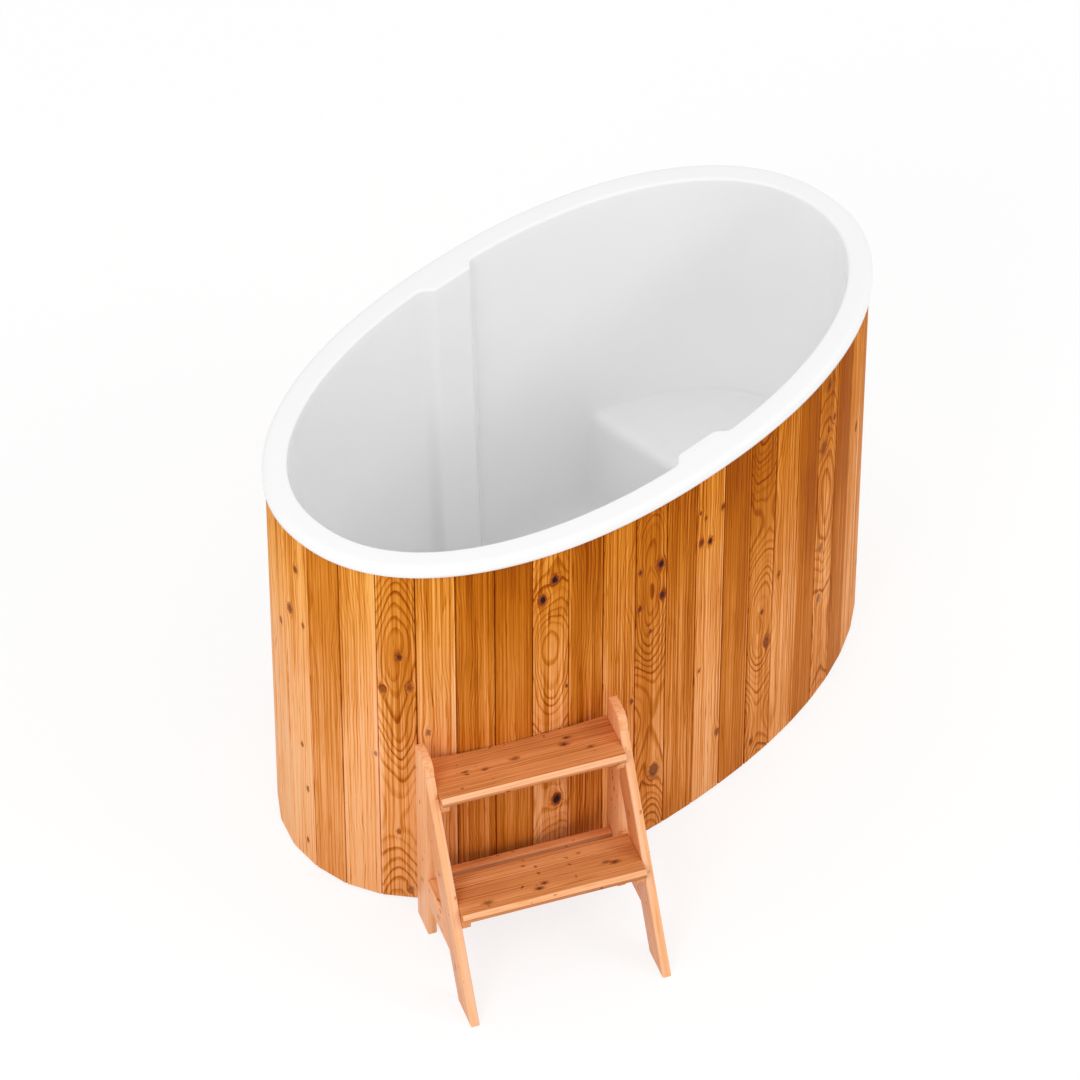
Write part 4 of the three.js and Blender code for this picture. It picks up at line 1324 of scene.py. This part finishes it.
    def brim(self, inner: np.ndarray, angles: Sequence[float]) -> np.ndarray:
        """Rings of the rim, from the wall's top over the flat to the lip's lower edge.

        Args:
            inner: The wall's top ring.
            angles: The oval's angles at the stations.

        Returns:
            Points by ring and station.
        """
        def outer(inset: float, height: float) -> np.ndarray:
            """A ring at an inset from the rim's outer edge."""
            return np.array([(*self.oval.point(angle, inset).xy, height) for angle in angles])

        quarter = [math.pi / 2 * (step + 1) / self.rounding_rings for step in range(self.rounding_rings)]
        way = outer(0.0, 0.0) - inner
        way[:, 2] = 0.0
        way /= np.linalg.norm(way, axis=1)[:, None]
        rings = []
        for angle in quarter:
            ring = inner + way * self.rim_inner_radius * (1 - math.cos(angle))
            ring[:, 2] = self.top - self.rim_inner_radius * (1 - math.sin(angle))
            rings.append(ring)
        start, end = rings[-1], outer(self.rim_outer_radius, self.top)
        rings += [start + (end - start) * share for share in self.flat_rings]
        for angle in quarter:
            inset = self.rim_outer_radius * (1 - math.sin(angle))
            rings.append(outer(inset, self.top - self.rim_outer_radius * (1 - math.cos(angle))))
        drop = self.lip_drop - self.rim_outer_radius
        rings += [outer(0.0, self.top - self.rim_outer_radius - drop * share) for share in self.lip_rings]
        rings.append(outer(self.lip_arris, self.top - self.lip_drop))
        return np.array(rings)

    def build(self, drain: "DrainLine") -> None:
        """Spins a sheet and lays its rings on the moulding's form, then gives the sheet its thickness.

        Args:
            drain: The drain line, whose waste sits in the floor.
        """
        angles = self.oval.stations(
            self.stations, self.phase, self.rim_width,
            lambda point: self.rib_detail if abs(point.x) < self.rib_zone else 1.0)
        basin = self.basin(angles, drain.waste)
        points = np.concatenate([basin, self.brim(basin[-1], angles)])
        bm = spun([(1.0, float(ring)) for ring in range(len(points))], self.stations, closed=False)
        step = 2 * math.pi / self.stations
        for vert in bm.verts:
            station = round(math.atan2(vert.co.y, vert.co.x) / step) % self.stations
            vert.co = points[round(vert.co.z), station]
        bmesh.ops.recalc_face_normals(bm, faces=bm.faces)
        rim = max(bm.faces, key=lambda face: face.calc_center_median().z)
        if rim.normal.z < 0:
            bmesh.ops.reverse_faces(bm, faces=bm.faces)
        for face in bm.faces:
            face.smooth = True
        made = add_piece("liner_moulding", bm, WHITE_GELCOAT, "tub", "liner")
        skin = made.modifiers.new("skin", "SOLIDIFY")
        skin.thickness = self.skin
        skin.offset = -1.0


@dataclass
class DrainLine:
    """Waste in the floor, pipe under it, and a ball valve with a hose tail behind the tub."""

    turns: int = 48
    edge: float = 0.0008
    pipe_radius: float = 0.016
    running_gap: float = 0.0003
    collar_foot: float = 0.25
    collar_points: int = 7
    hub_radius: float = 0.0215
    belly_radius: float = 0.0285
    belly_points: int = 9
    shell_setback: float = 0.001
    nut_radius: float = 0.0251
    nut_share: float = 0.50
    nut_lap: float = 0.001
    nut_edge: float = 0.0004
    nut_segments: int = 1
    grip_every: int = 3
    grip_zone: tuple[float, float] = (0.2, 0.8)
    grip_inset: float = 0.0004
    grip_height: float = 0.0012
    stem_bore: float = 0.0055
    boss_radius: float = 0.011
    boss_foot: float = 0.02
    tail_bore: float = 0.011
    tail_root: float = 0.0136
    tail_barb: float = 0.0156
    tail_spigot: float = 0.0158
    tail_flange: float = 0.0250
    tail_shoulder: float = 0.006
    tail_ridges: int = 3
    tail_lead: float = 0.0008
    ridge_gap: float = 0.001
    ridge_crest: float = 0.004
    lever_edge: float = 0.0016
    lever_segments: int = 3
    waste_bore: float = 0.022
    waste_tail: float = 0.025
    waste_thickness: float = 0.003
    waste_bevel: float = 0.0012
    waste_dish: float = 0.005
    waste_edge: float = 0.0005
    strainer_edge: float = 0.0004

    def __post_init__(self) -> None:
        """Finds the line's axis from the waste and the lever's hinge."""
        low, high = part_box("drain_waste")
        self.waste = Vector(((low.x + high.x) / 2, (low.y + high.y) / 2, 0))
        hinge = next(joint for joint in frame["joints"] if joint["name"] == "drain_lever_turn")
        self.valve = Vector(hinge["pos_m"])
        self.run = Vector((self.valve.x - self.waste.x, self.valve.y - self.waste.y, 0)).normalized()
        collar_low, collar_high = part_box("drain_collar")
        self.collar_depth = collar_high.y - collar_low.y
        self.collar_radius = (collar_high.z - collar_low.z) / 2
        self.outlet = self.along(collar_low.y)

    def along(self, y: float) -> Vector:
        """The point of the line's axis at a place across the tub."""
        return self.valve + self.run * ((y - self.valve.y) / self.run.y)

    def place(self, at: Vector) -> Matrix:
        """A frame on the line, its Z along the flow and its Y up.

        Args:
            at: Where the frame stands.

        Returns:
            The frame.
        """
        turn = Matrix((UP.cross(self.run), UP, self.run)).transposed()
        return Matrix.Translation(at) @ turn.to_4x4()

    def ring(self, name: str, profile: Profile, at: Vector, node: str) -> None:
        """A turned fitting on the line."""
        add_rounded(name, turned(profile, self.turns, self.place(at)), self.edge, GREY_FITTING, "tub", node)

    def collar(self) -> None:
        """The domed collar on the staves."""
        depth, bore = self.collar_depth, self.pipe_radius + self.running_gap
        width, foot = self.collar_radius - bore, self.collar_foot
        dome = [(bore + width * math.cos(angle), depth * (foot + (1 - foot) * math.sin(angle)))
                for angle in np.linspace(0, math.pi / 2, self.collar_points)]
        profile = [(bore, 0), (self.collar_radius, 0), *dome]
        self.ring("drain_collar_dome", profile, self.outlet, "drain_collar")

    def valve_body(self) -> None:
        """The valve's body, a union nut at each end with grip ribs, and the stem's boss."""
        low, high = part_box("drain_valve_body")
        length = high.y - low.y
        start = self.valve - self.run * (length / 2)
        bore, hub = self.pipe_radius + self.running_gap, self.hub_radius
        nut = length / 2 * self.nut_share
        rise, run = self.belly_radius - hub, length - 2 * nut
        swell = [(hub + rise * math.sin(math.pi * share), nut + run * share)
                 for share in np.linspace(0, 1, self.belly_points)]
        first, last = self.shell_setback, length - self.shell_setback
        profile = [(bore, first), (hub, first), *swell, (hub, last), (bore, last)]
        self.ring("drain_valve_shell", profile, start, "drain_valve_body")
        for name, at in (("inlet", 0.0), ("outlet", length - nut)):
            self.union_nut(f"drain_{name}_nut", start + self.run * at, nut)
        top = high.z - self.valve.z
        profile = [(self.stem_bore, self.boss_foot), (self.boss_radius, self.boss_foot),
                   (self.boss_radius, top), (self.stem_bore, top)]
        boss = turned(profile, self.turns, Matrix.Translation(self.valve))
        add_rounded("drain_stem_boss", boss, self.edge, GREY_FITTING, "tub", "drain_valve_body")

    def union_nut(self, name: str, at: Vector, depth: float) -> None:
        """A round nut with grip ribs pulled out of some of its faces.

        Args:
            name: The piece's name.
            at: Where on the line it starts.
            depth: How long it is.
        """
        outer, inner = self.nut_radius, self.hub_radius - self.nut_lap
        bm = turned([(inner, 0), (outer, 0), (outer, depth), (inner, depth)], self.turns, self.place(at))
        flow = self.place(at).inverted()
        low, high = self.grip_zone
        ribs = []
        for face in bm.faces:
            local = flow @ face.calc_center_median()
            reach = math.hypot(local.x, local.y)
            sector = int((math.atan2(local.y, local.x) + math.pi) / (2 * math.pi) * self.turns)
            if reach > (outer + inner) / 2 and low < local.z / depth < high and sector % self.grip_every == 0:
                ribs.append(face)
        bmesh.ops.inset_individual(bm, faces=ribs, thickness=self.grip_inset, depth=self.grip_height)
        add_rounded(name, bm, self.nut_edge, GREY_FITTING, "tub", "drain_valve_body", self.nut_segments)

    def hose_tail(self) -> None:
        """The ridged tail that a hose is pushed over."""
        low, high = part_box("drain_hose_tail")
        length = high.y - low.y
        face = 2 * self.valve.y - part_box("drain_valve_body")[0].y - low.y
        shoulder = face + self.tail_shoulder
        pitch = (length - shoulder) / self.tail_ridges
        root, spigot, flange = self.tail_root, self.tail_spigot, self.tail_flange
        profile = [(self.tail_bore, 0), (spigot, 0), (spigot, face), (flange, face), (flange, shoulder)]
        for index in range(self.tail_ridges):
            start = shoulder + index * pitch
            profile += [(root, start + self.ridge_gap), (self.tail_barb, start + self.ridge_crest),
                        (root, start + pitch - self.ridge_gap)]
        profile += [(root - self.tail_lead, length), (self.tail_bore, length)]
        self.ring("drain_hose_tail_ridged", profile, self.along(low.y), "drain_hose_tail")

    def lever(self) -> None:
        """The lever, with its moulded edges rounded."""
        bm = copy_of("drain_valve_lever")
        add_rounded("drain_lever_moulding", bm, self.lever_edge, DARK_LEVER, "drain_handle",
                    "drain_valve_lever", self.lever_segments)

    def waste_set(self) -> None:
        """The waste's dished flange and the strainer that lies on it."""
        low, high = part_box("drain_waste")
        flange, bore, tail = (high.x - low.x) / 2, self.waste_bore, self.waste_tail
        seat = high.z - self.waste_thickness
        profile = [(bore, low.z), (tail, low.z), (tail, seat), (flange, seat),
                   (flange - self.waste_bevel, high.z - self.waste_bevel),
                   (flange - self.waste_dish, high.z), (bore, high.z)]
        bm = turned(profile, self.turns, Matrix.Translation(self.waste))
        add_rounded("drain_waste_flange", bm, self.waste_edge, DRAIN_STEEL, "tub", "drain_waste")
        plate = copy_of("drain_strainer")
        add_rounded("drain_strainer_plate", plate, self.strainer_edge, DRAIN_STEEL, "tub", "drain_strainer")

    def build(self) -> None:
        """Makes the fittings that show and dresses the ones that don't."""
        self.collar()
        self.valve_body()
        self.hose_tail()
        self.lever()
        self.waste_set()
        for node in ("drain_locknut", "drain_elbow", "drain_pipe"):
            dress(node, GREY_FITTING)
        dress("drain_valve_ball", DRAIN_STEEL)


@dataclass
class Base:
    """Skids, bearers, the bench's prop and the hoops behind the staves."""

    timbers: dict[Finish, tuple[str, ...]] = field(default_factory=lambda: {
        SKID_TIMBER: ("base_skid_left", "base_skid_middle", "base_skid_right"),
        BEARER_TIMBER: (*(f"base_bearer_{number}" for number in (1, 2, 3, 4)), "seat_prop"),
        HOOP_PLY: ("hoop_lower", "hoop_middle", "hoop_upper")})

    def build(self) -> None:
        """Dresses the hidden timbers."""
        for finish, nodes in self.timbers.items():
            for node in nodes:
                dress(node, finish)


@dataclass
class StepUnit:
    """The free-standing step unit: two side frames of boards with two treads between them."""

    front_leg_slope: float = math.radians(59.2)
    arris: float = 0.0022
    tread_arris: float = 0.0014
    arris_segments: int = 3
    # Painted highlight with some rubbing: tread noses and front-leg faces are paled along their front edges,
    # the noses most on their upper faces.
    nose_wear_and_highlight: EdgeWearAndHighlight = EdgeWearAndHighlight(0.0010, 0.6, 0.60)
    face_wear_and_highlight: EdgeWearAndHighlight = EdgeWearAndHighlight(0.004)
    # Painted highlight: the stretcher's top edge is paled where its top face catches the light.
    stretcher_top_highlight: EdgeWearAndHighlight = EdgeWearAndHighlight(0.003, 0.0, 0.42)
    figure: float = 0.55
    line: float = 0.1
    # rear_stretcher is set dark as painted shade on its front face, which lies in shadow under the treads.
    lights: dict[str, float] = field(default_factory=lambda: {
        "rear_leg": 0.92, "front_leg": 0.78, "side_rail": 0.82, "lower_cleat": 0.74, "upper_cleat": 0.74,
        "tread_upper": 0.54, "tread_lower_front": 0.49, "tread_lower_rear": 0.62, "rear_stretcher": 0.30})
    unseen_knots: Spans = ((-28, 28), (-180, 180), (2, 4))
    unseen_knot_count: int = 4
    first_seed: int = 300
    seeds_per_side: int = 20
    first_seed_between: int = 361
    knots: dict[str, tuple[Knot, ...]] = field(default_factory=lambda: {
        "step_tread_upper": (
            Knot(-6, 22, 5), Knot(-30, -108, 3, 0.9), Knot(-12, -96, 4, 0.9), Knot(4, 96, 3),
            Knot(-2, 140, 3), Knot(14, -150, 3)),
        "step_tread_lower_front": (
            Knot(18, 150, 5), Knot(2, 12, 3, 0.9), Knot(14, 28, 4, 0.9), Knot(-14, -140, 4),
            Knot(-8, -158, 4, 0.9)),
        "step_tread_lower_rear": (Knot(2, 40, 2), Knot(4, -90, 2)),
        "step_rear_stretcher": (Knot(6, 120, 2), Knot(-4, -60, 2)),
        "step_front_leg_left": (Knot(-10, -160, 3), Knot(4, 60, 2)),
        "step_front_leg_right": (Knot(-6, 90, 3), Knot(8, -120, 2))})

    def __post_init__(self) -> None:
        """Takes the unit's axes from the way it is pulled off."""
        pull = next(joint for joint in frame["joints"] if joint["name"] == "step_unit_pull")
        self.outward = Vector(pull["axis"]).normalized()
        self.across = self.outward.cross(UP)

    def board(self, node: str, along: Vector, wide: Vector, arris: float, grain: Grain,
              wear_and_highlight: EdgeWearAndHighlight | None = None) -> None:
        """One board, with its arrises eased and its own wood.

        Args:
            node: The solid it is made from.
            along: The way its grain runs.
            wide: The way across its broad face.
            arris: How far its edges are eased.
            grain: Its wood.
            wear_and_highlight: How its front edge is worn pale and lit by a painted highlight, if at all.
        """
        bm = copy_of(node)
        round_edges(bm, corners(bm), arris, self.arris_segments)
        soften(bm)
        deep = along.cross(wide).normalized()
        low = Vector(min(vert.co.dot(axis) for vert in bm.verts) for axis in (wide, deep, along))
        high = Vector(max(vert.co.dot(axis) for vert in bm.verts) for axis in (wide, deep, along))
        middle = (low + high) / 2
        origin = wide * middle.x + deep * middle.y + along * middle.z
        # Pales the front edge, partly rubbed and partly a painted highlight.
        if wear_and_highlight is not None:
            grain.pale_edge, grain.lean, grain.paleness = 1.0, wear_and_highlight.lean, wear_and_highlight.paleness
            grain.edge = (high.x - low.x) / 2 - wear_and_highlight.reach
        grain.write(bm, origin, wide, deep, along)
        add_piece(f"{node}_board", bm, STEP_TIMBER, "step_unit", node)

    def wood(self, node: str, light: float, cut: Cut, seed: int) -> Grain:
        """A board's wood, with its knots as seen or drawn by lot.

        Args:
            node: The board's solid.
            light: How light it is.
            cut: How it was sawn.
            seed: Its own number.

        Returns:
            The wood.
        """
        draw = random.Random(seed)
        knots = self.knots.get(node)
        if knots is None:
            knots = drawn_knots(draw, self.unseen_knots, self.unseen_knot_count)
        return Grain(cut, light, seed, knots, figure=self.figure, line=self.line)

    def build(self) -> None:
        """Makes every board of the unit."""
        run, rise = math.cos(self.front_leg_slope), math.sin(self.front_leg_slope)
        slope, square = UP * rise - self.outward * run, UP * run + self.outward * rise
        for offset, side in enumerate(("left", "right")):
            seed = self.first_seed + self.seeds_per_side * offset
            lie = {
                "rear_leg": (UP, self.outward, None),
                "front_leg": (slope, square, self.face_wear_and_highlight),
                "side_rail": (self.outward, UP, None),
                "lower_cleat": (self.outward, UP, None),
                "upper_cleat": (self.outward, UP, None),
            }
            for order, (part, (along, wide, wear_and_highlight)) in enumerate(lie.items()):
                node = f"step_{part}_{side}"
                wood = self.wood(node, self.lights[part], Cut.RIFT_SAWN, seed + order)
                self.board(node, along, wide, self.arris, wood, wear_and_highlight)
        between = {
            "tread_upper": (self.outward, self.tread_arris, Cut.RIFT_SAWN, self.nose_wear_and_highlight),
            "tread_lower_front": (self.outward, self.tread_arris, Cut.RIFT_SAWN, self.nose_wear_and_highlight),
            "tread_lower_rear": (self.outward, self.tread_arris, Cut.RIFT_SAWN, None),
            "rear_stretcher": (UP, self.arris, Cut.QUARTER_SAWN, self.stretcher_top_highlight),
        }
        for order, (part, (wide, arris, cut, wear_and_highlight)) in enumerate(between.items()):
            node = f"step_{part}"
            wood = self.wood(node, self.lights[part], cut, self.first_seed_between + order)
            self.board(node, self.across, wide, arris, wood, wear_and_highlight)


@dataclass(frozen=True)
class Lamp:
    """A square softbox, aimed at the tub."""

    name: str
    place: tuple[float, float, float]
    aim: tuple[float, float, float]
    size: float
    power: float

    def light(self) -> None:
        """Hangs the lamp, which leaves no highlight in what is glossy."""
        data = bpy.data.lights.new(self.name, "AREA")
        data.shape = "SQUARE"
        data.size = self.size
        data.energy = self.power
        lamp = bpy.data.objects.new(self.name, data)
        lamp.location = self.place
        lamp.rotation_euler = (Vector(self.aim) - Vector(self.place)).to_track_quat("-Z", "Y").to_euler()
        lamp.visible_glossy = False
        bpy.context.scene.collection.objects.link(lamp)


@dataclass
class Studio:
    """Pale floor, soft light and the camera."""

    azimuth: float = math.radians(-44.633)
    elevation: float = math.radians(43.352)
    camera_place: tuple[float, float, float] = (-7.62504, -7.62043, 10.66471)
    lens: float = 214.884
    sensor: float = 36.0
    farthest: float = 200.0
    floor_size: float = 60.0
    floor_tone: Colour = (0.87, 0.87, 0.87, 1.0)
    floor_white: float = 1.085
    floor_share: float = 0.73
    sky: float = 0.76
    lamps: tuple[Lamp, ...] = (
        Lamp("left_softbox", (-5.5, -1.9, 4.6), (0, 0, 0.6), 2.6, 105.0),
        Lamp("front_right_softbox", (3.0, -5.2, 5.0), (0, 0, 0.6), 2.6, 80.0),
    )

    def camera(self) -> None:
        """Sets the camera at the photograph's viewing angle."""
        right = Vector((math.cos(self.azimuth), math.sin(self.azimuth), 0))
        away = Vector((math.sin(self.azimuth), -math.cos(self.azimuth), 0))
        back = away * math.cos(self.elevation) + UP * math.sin(self.elevation)
        data = bpy.data.cameras.new("camera")
        data.lens = self.lens
        data.sensor_width = self.sensor
        data.sensor_fit = "HORIZONTAL"
        data.clip_end = self.farthest
        camera = bpy.data.objects.new("camera", data)
        turn = Matrix((right, back.cross(right), back)).transposed()
        camera.matrix_world = Matrix.Translation(self.camera_place) @ turn.to_4x4()
        bpy.context.scene.collection.objects.link(camera)
        bpy.context.scene.camera = camera

    @staticmethod
    def close(paint: Paint, output: str, share: float, lighting: bpy.types.Node,
              seen: bpy.types.Node) -> None:
        """Ends a sheet of nodes with one shader that lights the scene and another that the camera sees.

        Args:
            paint: The nodes.
            output: The type of the output node.
            share: How much of the second shader shows, straight on, in a mirror or through glass.
            lighting: The shader that lights.
            seen: The shader that is seen.
        """
        rays = paint.node("ShaderNodeLightPath").outputs
        straight, mirrored, through = (
            Term(paint, rays[f"Is {kind} Ray"]) for kind in ("Camera", "Glossy", "Transmission"))
        looked_at = straight.at_least(mirrored).at_least(through)
        shader = paint.node("ShaderNodeMixShader", None, {
            0: looked_at * share, 1: Term(paint, lighting.outputs[0]), 2: Term(paint, seen.outputs[0])})
        paint.node(output, None, {"Surface": Term(paint, shader.outputs[0])})

    def floor(self) -> None:
        """Lays the floor, which keeps the object's shadow."""
        bm = bmesh.new()
        bmesh.ops.create_grid(bm, x_segments=1, y_segments=1, size=self.floor_size / 2)
        floor = set_out("floor", bm)
        material = bpy.data.materials.new("pale_floor")
        paint = Paint(material)
        lit = paint.node("ShaderNodeBsdfDiffuse", None, {"Color": self.floor_tone})
        white = paint.node("ShaderNodeEmission", None, {"Color": WHITE, "Strength": self.floor_white})
        self.close(paint, "ShaderNodeOutputMaterial", self.floor_share, lit, white)
        floor.data.materials.append(material)

    def world(self) -> None:
        """A plain sky that looks white and lights a little less."""
        world = bpy.data.worlds.new("studio")
        paint = Paint(world)
        sky, white = (paint.node("ShaderNodeBackground", None, {"Color": WHITE, "Strength": strength})
                      for strength in (self.sky, 1.0))
        self.close(paint, "ShaderNodeOutputWorld", 1.0, sky, white)
        bpy.context.scene.world = world

    def build(self) -> None:
        """Sets up the whole studio."""
        bpy.context.scene.view_settings.view_transform = "Standard"
        self.camera()
        self.floor()
        self.world()
        for lamp in self.lamps:
            lamp.light()


def main() -> None:
    """Builds the studio and the tub, sub-assembly by sub-assembly."""
    logging.basicConfig(level=logging.INFO, format="%(message)s")
    oval = Oval()
    drain = DrainLine()
    Studio().build()
    Liner(oval).build(drain)
    Staves(oval).build(drain)
    Base().build()
    drain.build()
    StepUnit().build()


if __name__ == "__main__":
    main()
